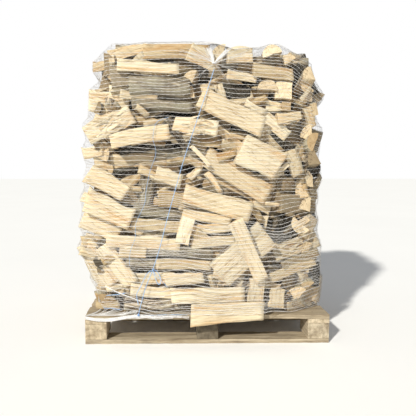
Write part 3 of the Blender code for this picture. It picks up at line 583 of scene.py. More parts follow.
class Graph:
    """One material's node tree, with short ways to add to it."""

    def __init__(self, name: str) -> None:
        """Starts a material with a bare Principled shader."""
        self.material = bpy.data.materials.new(name)
        self.material.use_nodes = True
        self.tree = self.material.node_tree
        self.shader = self.tree.nodes["Principled BSDF"]

    def link(self, source: NodeSocket, target: NodeSocket) -> None:
        """Joins an output to an input."""
        self.tree.links.new(source, target)

    def node(self, kind: str, *values: object, **settings: object) -> bpy.types.Node:
        """Adds a node.

        Args:
            kind: Its type, without the ShaderNode in front.
            values: For its inputs in order: a socket to link, a number or tuple, or None to leave it.
            settings: Its own properties.

        Returns:
            The node.
        """
        made = self.tree.nodes.new("ShaderNode" + kind)
        for key, value in settings.items():
            setattr(made, key, value)
        for socket, value in zip(made.inputs, values):
            self._set(socket, value)
        return made

    def _set(self, socket: NodeSocket, value: object) -> None:
        """Links or sets one input."""
        if isinstance(value, NodeSocket):
            self.link(value, socket)
        elif value is not None:
            socket.default_value = value

    def maths(self, operation: str, *values: object) -> NodeSocket:
        """The result of a Math node."""
        return self.node("Math", *values, operation=operation).outputs[0]

    def vector(self, operation: str, *values: object) -> NodeSocket:
        """The result of a Vector Math node."""
        made = self.node("VectorMath", *values, operation=operation)
        return made.outputs[1 if operation == "LENGTH" else 0]

    def noise(self, place: NodeSocket, scale: float, detail: float, rough: float = 0.55) -> NodeSocket:
        """A noise value at a place."""
        return self.node("TexNoise", place, None, scale, detail, rough).outputs["Fac"]

    def ramp(self, value: NodeSocket, *stops: tuple[float, tuple[float, ...]]) -> NodeSocket:
        """A colour ramp's colour, from (place, colour) stops.

        Args:
            value: Where on the ramp.
            stops: Each place and its colour.

        Returns:
            The colour.
        """
        made = self.node("ValToRGB", value)
        points = made.color_ramp.elements
        while len(points) < len(stops):
            points.new(0.5)
        for point, (place, colour) in zip(points, stops):
            point.position = place
            point.color = (*colour, 1.0) if len(colour) == 3 else (*(colour * 3), 1.0)
        return made.outputs["Color"]

    def mix(self, share: object, first: object, second: object, blend: str = "MIX") -> NodeSocket:
        """Two colours mixed by a share.

        Args:
            share: The second's share.
            first: The first colour.
            second: The second one.
            blend: How they are mixed.

        Returns:
            The colour.
        """
        made = self.node("Mix", share, data_type="RGBA", blend_type=blend)
        colours = [socket for socket in made.inputs if socket.type == "RGBA"]
        for socket, value in zip(colours, (first, second)):
            self._set(socket, (*value, 1.0) if isinstance(value, tuple) and len(value) == 3 else value)
        return next(socket for socket in made.outputs if socket.type == "RGBA")

    def bump(self, height: NodeSocket, distance: float, strength: float = 1.0) -> None:
        """Adds to the shader's bumps.

        Args:
            height: The relief.
            distance: How high it is at most, in metres.
            strength: How strongly it shows.
        """
        normal = self.shader.inputs["Normal"]
        before = normal.links[0].from_socket if normal.links else None
        made = self.node("Bump", strength, distance, None, height, before)
        self.link(made.outputs["Normal"], normal)

    def finish(self, colour: NodeSocket, roughness: float) -> Material:
        """Sets the shader's colour and roughness, and gives the material."""
        self.link(colour, self.shader.inputs["Base Color"])
        self.shader.inputs["Roughness"].default_value = roughness
        return self.material


# Multiplying by this leaves a colour as it is
CLEAR = (1.0, 1.0, 1.0)


@dataclass(frozen=True)
class WoodGrain:
    """What wood's materials read: its place from the pith, and its piece's tone."""

    graph: Graph

    def place(self) -> NodeSocket:
        """Where a point is in its own piece, x along the grain, in metres."""
        return self.graph.node("Attribute", attribute_name="grain").outputs["Vector"]

    def stretched(self, along: float, across: float) -> NodeSocket:
        """The place scaled differently along and across the grain."""
        return self.graph.vector("MULTIPLY", self.place(), (along, across, across))

    def noise(self, along: float, across: float, detail: float, rough: float = 0.55) -> NodeSocket:
        """Noise that is stretched along the grain."""
        return self.graph.noise(self.stretched(along, across), 1.0, detail, rough)

    def radial(self) -> NodeSocket:
        """The distance from the pith, in metres."""
        return self.graph.vector("LENGTH", self.stretched(0.0, 1.0))

    def rings(
        self, spacing: float, stray: NodeSocket, bend: float, height: float, middle: float = 0.0
    ) -> NodeSocket:
        """Growth rings round the pith, as waves.

        Args:
            spacing: From ring to ring, in metres.
            stray: What bends them.
            bend: How much it does.
            height: The waves' height.
            middle: The value that they go about.

        Returns:
            The waves' value.
        """
        bent = self.graph.maths("MULTIPLY", stray, bend)
        phase = self.graph.maths("MULTIPLY_ADD", self.radial(), 2 * pi / spacing, bent)
        return self.graph.maths("MULTIPLY_ADD", self.graph.maths("SINE", phase), height, middle)

    def tone(self) -> tuple[NodeSocket, NodeSocket, NodeSocket]:
        """The piece's brightness, warmth and greyness."""
        colour = self.graph.node("Attribute", attribute_name="tone").outputs["Color"]
        parts = self.graph.node("SeparateColor", colour).outputs
        return parts[0], parts[1], parts[2]

    def toned(self, colour: NodeSocket, warm: tuple, grey: tuple) -> NodeSocket:
        """A colour made warmer, greyer and darker as the piece's tone says."""
        bright, warmth, greyness = self.tone()
        colour = self.graph.mix(self.graph.maths("MULTIPLY", warmth, 0.62), colour, warm, "MULTIPLY")
        colour = self.graph.mix(self.graph.maths("MULTIPLY", greyness, 0.75), colour, grey)
        return self.shaded(colour, bright)

    def shaded(self, colour: NodeSocket, value: NodeSocket) -> NodeSocket:
        """A colour made so bright."""
        grey = self.graph.node("CombineColor", value, value, value).outputs[0]
        return self.graph.mix(1.0, colour, grey, "MULTIPLY")


@dataclass(frozen=True)
class SplitWood:
    """The torn inner face of a split log: fibres, faint growth bands and stains along the grain."""

    pale: tuple = (0.90, 0.80, 0.585)
    deep: tuple = (0.48, 0.33, 0.16)
    warm: tuple = (1.00, 0.76, 0.42)
    grey: tuple = (0.42, 0.37, 0.28)
    stain: tuple = (0.88, 0.62, 0.36)
    crack: tuple = (0.34, 0.25, 0.16)
    ring: float = 0.0048
    roughness: float = 0.86

    def build(self) -> Material:
        """Makes the material."""
        graph = Graph("Split wood")
        grain = WoodGrain(graph)
        wide = grain.noise(5.0, 75.0, 4.0, 0.6)
        fine = grain.noise(14.0, 420.0, 2.0)
        bands = grain.rings(self.ring, grain.noise(6.0, 22.0, 2.0), 9.0, 0.045)
        fibres = graph.maths("MULTIPLY_ADD", fine, 0.45, bands)
        shade = graph.maths("MULTIPLY_ADD", wide, 0.85, fibres)
        middle = tuple(0.6 * a + 0.4 * b for a, b in zip(self.pale, self.deep))
        colour = graph.ramp(shade, (0.45, self.deep), (0.54, middle), (0.64, self.pale))
        stained = graph.ramp(grain.noise(3.0, 26.0, 4.0, 0.65), (0.33, self.stain), (0.50, CLEAR))
        colour = graph.mix(0.75, colour, stained, "MULTIPLY")
        torn = grain.noise(9.0, 150.0, 3.0, 0.65)
        colour = graph.mix(0.72, colour, graph.ramp(torn, (0.31, self.crack), (0.41, CLEAR)), "MULTIPLY")
        graph.bump(wide, 0.0045)
        graph.bump(torn, 0.0025)
        graph.bump(fine, 0.0009)
        return graph.finish(grain.toned(colour, self.warm, self.grey), self.roughness)


@dataclass(frozen=True)
class EndGrain:
    """A sawn end: growth rings round the pith, drying cracks, and the saw's marks."""

    pale: tuple = (1.00, 0.89, 0.66)
    deep: tuple = (0.84, 0.67, 0.43)
    warm: tuple = (1.00, 0.76, 0.46)
    grey: tuple = (0.40, 0.35, 0.27)
    crack: tuple = (0.16, 0.11, 0.07)
    patch: tuple = (0.70, 0.62, 0.52)
    ring: float = 0.0042
    roughness: float = 0.90

    def build(self) -> Material:
        """Makes the material."""
        graph = Graph("End grain")
        grain = WoodGrain(graph)
        rings = grain.rings(self.ring, grain.noise(0.0, 30.0, 3.0), 8.0, 0.22, 0.5)
        colour = graph.ramp(rings, (0.25, self.deep), (0.75, self.pale))
        parts = graph.node("SeparateXYZ", grain.place()).outputs
        angle = graph.maths("MULTIPLY", graph.maths("ARCTAN2", parts[2], parts[1]), 3.4)
        turned = graph.node("CombineXYZ", angle, graph.maths("MULTIPLY", grain.radial(), 9.0)).outputs[0]
        cracks = graph.noise(turned, 2.2, 3.0, 0.7)
        colour = graph.mix(0.85, colour, graph.ramp(cracks, (0.37, self.crack), (0.415, CLEAR)), "MULTIPLY")
        patches = graph.ramp(grain.noise(0.0, 60.0, 4.0, 0.6), (0.35, self.patch), (0.60, CLEAR))
        colour = graph.mix(0.55, colour, patches, "MULTIPLY")
        marks = graph.noise(graph.vector("MULTIPLY", grain.place(), (0.0, 30.0, 600.0)), 1.0, 2.0)
        graph.bump(cracks, 0.003, 0.7)
        graph.bump(marks, 0.0010)
        return graph.finish(grain.toned(colour, self.warm, self.grey), self.roughness)


@dataclass(frozen=True)
class Bark:
    """Bark: ridges along the log, deep fissures between them, and patches of grey green growth."""

    deep: tuple = (0.085, 0.060, 0.040)
    brown: tuple = (0.33, 0.24, 0.15)
    ridge: tuple = (0.74, 0.62, 0.45)
    growth: tuple = (0.56, 0.51, 0.37)
    roughness: float = 0.95

    def build(self) -> Material:
        """Makes the material."""
        graph = Graph("Bark")
        grain = WoodGrain(graph)
        ridges = grain.noise(10.0, 85.0, 5.0, 0.65)
        plates = graph.node("TexVoronoi", grain.stretched(13.0, 62.0), feature="DISTANCE_TO_EDGE")
        plates.inputs["Scale"].default_value = 1.0
        split = graph.ramp(plates.outputs["Distance"], (0.0, (0.25,)), (0.22, (1.0,)))
        colour = graph.ramp(ridges, (0.38, self.deep), (0.47, self.brown), (0.60, self.ridge))
        colour = graph.mix(0.75, colour, split, "MULTIPLY")
        share = graph.ramp(grain.noise(9.0, 16.0, 3.0, 0.6), (0.46, (0.0,)), (0.60, (0.75,)))
        colour = graph.mix(share, colour, self.growth)
        bright, _, greyness = grain.tone()
        colour = graph.mix(graph.maths("MULTIPLY", greyness, 0.35), colour, self.growth)
        graph.bump(ridges, 0.010)
        graph.bump(plates.outputs["Distance"], 0.006)
        # Brightness from the piece's tone; the near black painted-shade look comes out darkest here
        lift = graph.maths("MULTIPLY_ADD", bright, 1.45, -0.06)
        return graph.finish(grain.shaded(colour, lift), self.roughness)


@dataclass(frozen=True)
class PalletWood:
    """Sawn softwood gone grey brown in the weather, as seen on a board's sides.

    along and across say how fine its fibres are, across for the broad ones and for the fine ones, and
    fine is the share of those. band is the height of the growth rings' waves, and spread says where
    the shade is deepest and where it is palest.
    """

    name: str = "Weathered board"
    along: float = 4.0
    across: tuple[float, float] = (110.0, 500.0)
    fine: float = 0.35
    band: float = 0.04
    spread: tuple[float, float] = (0.36, 0.68)
    pale: tuple = (0.62, 0.53, 0.385)
    deep: tuple = (0.22, 0.165, 0.10)
    dirt: tuple = (0.13, 0.10, 0.07)
    warm: tuple = (1.0, 0.86, 0.66)
    ring: float = 2 * pi / 1300.0
    roughness: float = 0.9

    def build(self) -> Material:
        """Makes the material."""
        graph = Graph(self.name)
        grain = WoodGrain(graph)
        fibres = grain.noise(self.along, self.across[0], 4.0, 0.5)
        fine = grain.noise(self.along * 5, self.across[1], 2.0)
        bands = grain.rings(self.ring, fibres, 5.0, self.band)
        shade = graph.maths("MULTIPLY_ADD", fibres, 0.75, graph.maths("MULTIPLY_ADD", fine, self.fine, bands))
        colour = graph.ramp(shade, (self.spread[0], self.deep), (self.spread[1], self.pale))
        soiled = graph.ramp(grain.noise(7.0, 24.0, 4.0, 0.65), (0.30, (0.60,)), (0.50, (0.0,)))
        colour = graph.mix(soiled, colour, self.dirt)
        bright, warmth, _ = grain.tone()
        colour = graph.mix(graph.maths("MULTIPLY", warmth, 0.5), colour, self.warm, "MULTIPLY")
        graph.bump(fibres, 0.0022)
        graph.bump(fine, 0.0007)
        return graph.finish(grain.shaded(colour, bright), self.roughness)


# The same wood on a board's sawn ends
SAWN_END = PalletWood("Weathered board end", 0.0, (38.0, 200.0), 0.18, 0.02, (0.26, 0.54))


@dataclass(frozen=True)
class Mottled:
    """A plain material with some variation over it: thread, a nail's steel, or the floor.

    scale says how fine the variation is, and a broader one beside it, if there is one. spread says
    where the colour is deepest and where it is palest, and relief how high its bumps are.
    """

    name: str
    pale: tuple
    deep: tuple
    scale: tuple[float, ...] = (240.0, 20.0)
    detail: float = 3.0
    spread: tuple[float, float] = (0.35, 0.62)
    roughness: float = 0.5
    metallic: float = 0.0
    relief: float = 0.0004

    def build(self) -> Material:
        """Makes the material."""
        graph = Graph(self.name)
        place = graph.node("TexCoord").outputs["Object"]
        soft = shade = graph.noise(place, self.scale[0], self.detail)
        for scale in self.scale[1:]:
            wide = graph.noise(place, scale, 2.0)
            shade = graph.maths("ADD", graph.maths("MULTIPLY", soft, 0.5), graph.maths("MULTIPLY", wide, 0.5))
        graph.shader.inputs["Metallic"].default_value = self.metallic
        if self.relief:
            graph.bump(soft, self.relief)
        colour = graph.ramp(shade, (self.spread[0], self.deep), (self.spread[1], self.pale))
        return graph.finish(colour, self.roughness)


class Finishes:
    """Every material of the object."""

    def __init__(self) -> None:
        """Makes them all."""
        self.split = SplitWood().build()
        self.bark = Bark().build()
        self.end = EndGrain().build()
        self.board = PalletWood().build()
        self.board_end = SAWN_END.build()
        self.net = Mottled("White net", (0.92, 0.91, 0.90), (0.74, 0.73, 0.72)).build()
        self.net_fine = Mottled("White net thread", (0.86, 0.85, 0.84), (0.66, 0.65, 0.64)).build()
        self.twine = Mottled(
            "Pale blue twine", (0.50, 0.68, 0.92), (0.24, 0.42, 0.74), (500.0, 500.0 / 12)
        ).build()
        self.nail = Mottled(
            "Nail steel", (0.34, 0.32, 0.30), (0.20, 0.10, 0.05), (300.0,), 4.0, (0.42, 0.58), 0.6, 0.6
        ).build()
        light, floor = (0.9894,) * 3, (0.97,) * 3
        self.floor = Mottled("Pale floor", light, floor, (0.8,), 2.0, (0.3, 0.7), 0.95, relief=0.0).build()


# Modelling

# How far one piece's stretch of grain may be from another's, in metres
GRAIN_RUN = (-9.0, 9.0)


def deselect() -> None:
    """Leaves nothing selected."""
    if bpy.context.object and bpy.context.object.mode != "OBJECT":
        bpy.ops.object.mode_set(mode="OBJECT")
    bpy.ops.object.select_all(action="DESELECT")


def activate(*objs: Object) -> None:
    """Selects these objects alone, the first of them active."""
    deselect()
    for obj in objs:
        obj.select_set(True)
    bpy.context.view_layer.objects.active = objs[0]


def rested(obj: Object) -> Object:
    """The object with its place, turn and size put into its mesh."""
    activate(obj)
    bpy.ops.object.transform_apply(location=True, rotation=True, scale=True)
    return obj


def apply_modifiers(obj: Object) -> None:
    """Puts the object's modifiers into its mesh."""
    activate(obj)
    for modifier in list(obj.modifiers):
        bpy.ops.object.modifier_apply(modifier=modifier.name)


def cut_across(axis: int, at: float) -> None:
    """Cuts right across everything in edit mode, square to an axis, and leaves both sides."""
    place, normal = [0.0, 0.0, 0.0], [0.0, 0.0, 0.0]
    place[axis], normal[axis] = at, 1.0
    bpy.ops.mesh.select_all(action="SELECT")
    bpy.ops.mesh.bisect(plane_co=place, plane_no=normal)


def in_scene(name: str, data: bpy.types.ID) -> Object:
    """A new object in the scene."""
    made = bpy.data.objects.new(name, data)
    bpy.context.scene.collection.objects.link(made)
    return made


def as_pattern(obj: Object) -> Mesh:
    """The mesh of an object that is taken away, to be copied from."""
    mesh = obj.data
    bpy.data.objects.remove(obj)
    return mesh


def joined(objs: Sequence[Object], name: str) -> Object:
    """Several mesh objects joined into one with a name."""
    activate(*objs)
    if len(objs) > 1:
        bpy.ops.object.join()
    objs[0].name = name
    objs[0].data.name = name
    return objs[0]


def shown_as(obj: Object, slot: str, *nodes: str) -> Object:
    """The piece attached to the root body, with the solids that it stands for hidden.

    Args:
        obj: The piece's object.
        slot: Not used.
        nodes: The solids.

    Returns:
        The object.
    """
    deselect()
    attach(obj, "root")
    if nodes:
        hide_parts(*nodes)
    return obj


def coordinates(mesh: Mesh) -> np.ndarray:
    """A mesh's points."""
    points = np.empty(len(mesh.vertices) * 3, np.float32)
    mesh.vertices.foreach_get("co", points)
    return points.reshape(-1, 3).astype(float)


def set_coordinates(mesh: Mesh, points: np.ndarray) -> None:
    """Moves a mesh's points."""
    mesh.vertices.foreach_set("co", points.astype(np.float32).ravel())
    mesh.update()


def set_grain(mesh: Mesh, places: np.ndarray, tone: Sequence[float]) -> None:
    """Gives a mesh what wood's materials read.

    Args:
        mesh: The mesh.
        places: Each point's place in its own piece, x along the grain.
        tone: The piece's brightness, warmth and greyness.
    """
    grain = mesh.attributes.get("grain") or mesh.attributes.new("grain", "FLOAT_VECTOR", "POINT")
    grain.data.foreach_set("vector", places.astype(np.float32).ravel())
    colour = mesh.attributes.get("tone") or mesh.attributes.new("tone", "FLOAT_COLOR", "POINT")
    colour.data.foreach_set("color", np.tile([*tone, 1.0], len(places)).astype(np.float32))


@dataclass(frozen=True)
class LogPatterns:
    """Logs of each kind, modelled once at a length and a face of 1, to be copied.

    Attributes:
        along: How many parts it is cut into along the grain.
        across: How many it is cut into across it.
        sides: How many sides the round log has.
        finishes: The materials.
    """

    along: int
    across: int
    sides: int
    finishes: Finishes

    variants: int = 3
    weld: float = 0.004
    # Each relief: its name, its place, its texture's size, its stretch along the grain, and its depth
    reliefs: tuple = (
        ("Broad", "split", 0.46, 1.5, 0.150),
        ("Torn", "split", 0.13, 3.6, 0.075),
        ("Bark", "outer", 0.16, 1.5, 0.060),
    )
    relief_level: float = 0.55

    def build(self) -> dict[Split, list[Mesh]]:
        """Models every variant of every kind."""
        return {kind: [self._model(kind, index) for index in range(self.variants)] for kind in Split}

    def _model(self, kind: Split, variant: int) -> Mesh:
        """One pattern: a round log, split, cut across and along, and torn a little.

        Args:
            kind: How it is split.
            variant: Which of the kind's variants it is.

        Returns:
            Its mesh.
        """
        radius, planes = split_planes(kind, 1.0)
        deselect()
        bpy.ops.mesh.primitive_cylinder_add(
            vertices=self.sides, radius=radius, depth=1.0, rotation=(0.0, pi / 2, 0.0)
        )
        log = rested(bpy.context.object)
        log.name = f"pattern_{kind.value}_{variant}_{self.sides}"
        bpy.ops.object.mode_set(mode="EDIT")
        for angle, offset in planes:
            normal = plane_normal(angle)
            bpy.ops.mesh.select_all(action="SELECT")
            bpy.ops.mesh.bisect(plane_co=normal * offset, plane_no=normal, use_fill=True, clear_outer=True)
        for index in range(1, self.along):
            cut_across(0, index / self.along - 0.5)
        for index in range(1, self.across):
            at = (2 * index / self.across - 1) * radius
            cut_across(1, at)
            cut_across(2, at)
        bpy.ops.mesh.select_all(action="SELECT")
        bpy.ops.mesh.remove_doubles(threshold=self.weld)
        if kind is Split.QUARTER:
            bpy.ops.transform.resize(value=(1.0, QUARTER_DEPTH, 1.0), center_override=(0.0, 0.0, 0.0))
        bpy.ops.mesh.normals_make_consistent(inside=False)
        bpy.ops.object.mode_set(mode="OBJECT")
        self._dress(log, kind, radius)
        self._tear(log, kind, variant)
        return as_pattern(log)

    def _dress(self, log: Object, kind: Split, radius: float) -> None:
        """Gives split faces, bark and sawn ends their materials.

        Args:
            log: The pattern.
            kind: How it is split.
            radius: The round log's radius.
        """
        for finish in (self.finishes.split, self.finishes.bark, self.finishes.end):
            log.data.materials.append(finish)
        depth = QUARTER_DEPTH if kind is Split.QUARTER else 1.0
        for face in log.data.polygons:
            normal, centre = face.normal, face.center
            round_normal = Vector((0.0, centre.y / depth**2, centre.z))
            far = hypot(centre.y / depth, centre.z) > radius * 0.93
            if abs(normal.x) > 0.9:
                face.material_index = Skin.END
            elif far and normal.dot(round_normal.normalized()) > 0.93:
                face.material_index = Skin.BARK
            face.use_smooth = face.material_index != Skin.END

    def _tear(self, log: Object, kind: Split, variant: int) -> None:
        """Roughens the split faces along the grain, and the bark.

        Args:
            log: The pattern.
            kind: How it is split.
            variant: Which of the kind's variants it is.
        """
        rims, barked = (
            {index for face in log.data.polygons if face.material_index == skin for index in face.vertices}
            for skin in (Skin.END, Skin.BARK)
        )
        split = log.vertex_groups.new(name="split")
        split.add([v.index for v in log.data.vertices if v.index not in barked], 1.0, "REPLACE")
        outer = log.vertex_groups.new(name="outer")
        outer.add([index for index in barked if index not in rims], 1.0, "REPLACE")
        order = list(Split).index(kind)
        bpy.ops.object.empty_add(location=(7.3 * variant + 1.7, 3.1 * order + 0.37, 2.9 * variant))
        guide = bpy.context.object
        for title, group, size, stretch, strength in self.reliefs:
            texture = bpy.data.textures.new(title, "CLOUDS")
            texture.noise_scale = size
            texture.noise_depth = 2
            guide.scale = (stretch, 1.0, 1.0)
            bpy.context.view_layer.update()
            modifier = log.modifiers.new(title, "DISPLACE")
            modifier.texture = texture
            modifier.vertex_group = group
            modifier.texture_coords = "OBJECT"
            modifier.texture_coords_object = guide
            modifier.strength = strength
            modifier.mid_level = self.relief_level
            before = coordinates(log.data)
            apply_modifiers(log)
            after = coordinates(log.data)
            ends = np.abs(np.abs(before[:, 0]) - 0.5) < 1e-4
            after[ends, 0] = before[ends, 0]
            set_coordinates(log.data, after)
        bpy.data.objects.remove(guide)


@dataclass(frozen=True)
class LogPile:
    """Detailed logs, copied from the patterns onto the places of laid ones.

    Attributes:
        patterns: The pattern meshes of each kind.
        plump: The round part's size beside the plain section's corners.
    """

    patterns: dict[Split, list[Mesh]]
    plump: float

    broad_face: float = 7.0
    thinning: tuple = (0.0, 0.10)
    small_thinning: tuple = (0.0, 0.26)
    lean: float = 0.16
    knots: int = 6
    edge: tuple = (-0.09, 0.07)
    bow: float = 0.004
    bow_middle: float = 0.4
    twist: float = 4.0
    brightness: tuple = (0.93, 1.06)
    warmth: tuple = (-0.12, 0.12)
    greyness: tuple = (-0.03, 0.05)

    def log(self, laid: PlacedLog, name: str, draw: Random, look: Look) -> Object:
        """One detailed log in its place.

        Args:
            laid: The laid plain log.
            name: The object's name.
            draw: Where its own bends and tone come from.
            look: Its colour.

        Returns:
            The log's object, at the origin, its place in its mesh.
        """
        mesh = draw.choice(self.patterns[laid.log.kind]).copy()
        mesh.name = name
        points = coordinates(mesh)
        if draw.random() < 0.5:
            points[:, 0] = -points[:, 0]
            mesh.flip_normals()
        section = self._worn(points, laid, draw)
        places = section + (draw.uniform(*GRAIN_RUN), 0.0, 0.0)
        places[:, 1] *= 1 / QUARTER_DEPTH if laid.log.kind is Split.QUARTER else 1.0
        bright, warmth, greyness = look.value
        tone = (
            bright * draw.uniform(*self.brightness),
            min(1.0, max(0.0, warmth + draw.uniform(*self.warmth))),
            min(1.0, max(0.0, greyness + draw.uniform(*self.greyness))),
        )
        set_grain(mesh, places, tone)
        section[:, 1:] *= self.plump if laid.log.kind is not Split.HEART else 1.0
        set_coordinates(mesh, laid.placed(self._bent(section, 2 * points[:, 0], draw)))
        return in_scene(name, mesh)

    def _worn(self, points: np.ndarray, laid: PlacedLog, draw: Random) -> np.ndarray:
        """A pattern's points at the log's size, thinner to one end, with slanted ends and uneven edges.

        Args:
            points: The pattern's points.
            laid: Where the log lies.
            draw: Where its wear comes from.

        Returns:
            Its points, along X from its middle.
        """
        section = points * (laid.length, laid.face, laid.face)
        thin = draw.uniform(*(self.thinning if laid.log.face > self.broad_face else self.small_thinning))
        section[:, 1:] *= (1.0 - thin * (0.5 + points[:, 0]))[:, None]
        lean = draw.uniform(-self.lean, self.lean)
        section[:, 0] += lean * section[:, 2] * (0.5 + np.abs(points[:, 0]))
        knots = np.linspace(-0.5, 0.5, self.knots)
        upper, lower = (
            np.interp(points[:, 0], knots, [draw.uniform(*self.edge) for _ in knots]) for _ in range(2)
        )
        section[:, 2] *= 1.0 + np.where(points[:, 2] > 0, upper, lower)
        return section

    def _bent(self, section: np.ndarray, share: np.ndarray, draw: Random) -> np.ndarray:
        """A log's points bowed and twisted a little, by their share of the way to its ends."""
        bow_y, bow_z = (draw.uniform(-self.bow, self.bow) * (share**2 - self.bow_middle) for _ in range(2))
        twist = radians(draw.uniform(-self.twist, self.twist)) * share
        c, s = np.cos(twist), np.sin(twist)
        along, y, z = section.T
        return np.column_stack([along, y * c - z * s + bow_y, y * s + z * c + bow_z])


@dataclass
class Splinters:
    """Slivers that stand off the logs' torn faces, modelled once and copied."""

    finishes: Finishes
    variants: int = 3
    length: tuple = (0.022, 0.085)
    width: tuple = (0.0022, 0.0065)
    thickness: float = 0.45
    lift: tuple = (1.0, 8.0)
    stray: float = 0.16
    rooted: float = 0.0012
    brightness: tuple = (0.80, 1.08)
    warmth: tuple = (0.0, 0.2)

    def __post_init__(self) -> None:
        """Models the slivers."""
        self.patterns = [self._model(index) for index in range(self.variants)]

    def _model(self, index: int) -> Mesh:
        """One sliver, 1 long and 1 wide, from its root at the origin to its point along X."""
        deselect()
        bpy.ops.mesh.primitive_cone_add(
            vertices=4 + index, radius1=0.5, radius2=0.06, depth=1.0, location=(0.5, 0.0, 0.0),
            rotation=(0.0, pi / 2, 0.0),
        )
        sliver = rested(bpy.context.object)
        bpy.ops.object.mode_set(mode="EDIT")
        for at, aside in ((0.3, 0.10 - 0.12 * index), (0.65, 0.16 * index - 0.12)):
            cut_across(0, at)
            bpy.ops.transform.translate(value=(0.0, aside, 0.04))
        bpy.ops.object.mode_set(mode="OBJECT")
        sliver.data.materials.append(self.finishes.split)
        return as_pattern(sliver)

    def on(
        self,
        log: Object,
        laid: PlacedLog,
        count: int,
        draw: Random,
        look: Look,
        broad: float = 1.0,
    ) -> list[Object]:
        """Slivers on a log's split faces.

        Args:
            log: The log's object.
            laid: Where it lies.
            count: How many slivers.
            draw: Where their places come from.
            look: Their colour.
            broad: Their width beside the usual one; broad ones stray more from the grain.

        Returns:
            The slivers, each in its place.
        """
        middle = laid.matrix.translation
        axis = (laid.matrix.to_3x3() @ Vector((1.0, 0.0, 0.0))).normalized()
        split = (face for face in log.data.polygons if face.material_index == Skin.SPLIT)
        faces = [face for face in split if face.normal.y < -0.3]
        bright, warmth, greyness = look.value
        made: list[Object] = []
        for _ in range(count if faces else 0):
            face = draw.choice(faces)
            length = draw.uniform(*self.length)
            way = axis if (face.center - middle).dot(axis) < 0 else -axis
            lift = radians(draw.uniform(*self.lift) * broad**0.5)
            stray = face.normal.cross(way) * draw.uniform(-self.stray, self.stray) * (broad - 1.0)
            along = ((way + stray).normalized() * cos(lift) + face.normal * sin(lift)).normalized()
            side = face.normal.cross(along).normalized()
            wide = draw.uniform(*self.width) * broad
            axes = np.array([along * length, side * wide, along.cross(side) * wide * self.thickness / broad])
            mesh = draw.choice(self.patterns).copy()
            points = coordinates(mesh)
            places = points * (length, wide, wide) + (draw.uniform(*GRAIN_RUN), 0.03, 0.02)
            tone = (bright * draw.uniform(*self.brightness), warmth + draw.uniform(*self.warmth), greyness)
            set_grain(mesh, places, tone)
            set_coordinates(mesh, points @ axes + np.array(face.center - face.normal * self.rooted))
            if np.linalg.det(axes) < 0:
                mesh.flip_normals()
            made.append(in_scene(f"sliver_{len(made):02d}", mesh))
        return made


@dataclass(frozen=True)
class GapFill:
    """Odd pieces over one side of the heap, on a loose grid, in centimetres and degrees.

    first, step and stray are along the side and up. length and face are from least to greatest. tilt
    is how much their tilts vary, and depth how deep they start. Every second row is set off by offset.
    Where gaps_only is set, they lie only where the side's logs leave a gap.
    """

    side: str
    rows: int
    columns: int
    first: tuple
    step: tuple
    stray: tuple
    length: tuple
    face: tuple
    tilt: float
    depth: float
    looks: tuple[Look, ...]
    offset: float = 0.0
    gaps_only: bool = False


ODD_LOOKS = (Look.TAN, Look.CREAM, Look.CREAM, Look.PALE, Look.ORANGE, Look.BROWN)
SHARD_LOOKS = (Look.PALE, Look.CREAM, Look.WHITE, Look.TAN, Look.ORANGE)
SIDE_FILL = GapFill("left", 15, 6, (-33, 22), (13.2, 7.7), (4, 3), (13, 24), (6, 10), 20, 4.5, ODD_LOOKS)
GAP_FILLS = (
    GapFill("front", 15, 9, (-51, 22), (12.6, 7.7), (4, 3), (13, 24), (5.5, 9.5), 22, 4.5, ODD_LOOKS, 5),
    SIDE_FILL,
    replace(SIDE_FILL, side="right"),
    replace(SIDE_FILL, side="back", columns=9, first=(-51, 22), step=(12.75, 7.7)),
    GapFill("front", 23, 15, (-53, 18), (7.6, 5), (3, 2), (7, 15), (2.5, 5), 45, 2, SHARD_LOOKS, 0, True),
)
# Small pieces over the lower left corner's steep logs: x, z, length, face, tilt, yaw, kind and look. The near
# black slabs among them are painted shade, dark spots for the gaps between the pieces.
SMALL_PILE = (
    (-54.5, 51.0, 13, 6.5, 4, 10, "half", "TAN"),
    (-52.3, 45.8, 16, 6.5, -12, 8, "quarter", "CREAM"),
    (-38.7, 46.1, 8, 5.0, 3, 0, "slab", "WHITE"),
    (-44.5, 37.5, 15, 8.5, -38, 10, "quarter", "PALE"),
    (-56.0, 36.0, 13, 7.0, -62, -14, "half", "CREAM"),
    (-42.6, 29.5, 9, 5.0, 78, 8, "slab", "CREAM"),
    (-58.0, 45.0, 9, 5.0, -20, 12, "quarter", "PALE"),
    (-50.5, 29.0, 9, 6.5, 60, 15, "quarter", "TAN"),
    (-47.5, 42.5, 8, 4.0, 25, 10, "quarter", "ORANGE"),
    (-52.0, 40.5, 6, 3.6, 14, 0, "slab", "DARK"),
    (-37.8, 31.0, 8, 6.0, -50, 0, "slab", "DARK"),
    (-51.6, 50.4, 7, 3.4, 38, 0, "slab", "DARK"),
    (-47.5, 31.0, 6, 3.6, 70, 0, "slab", "DARK"),
    (-43.2, 40.8, 4, 3.0, 40, 0, "slab", "DARK"),
)


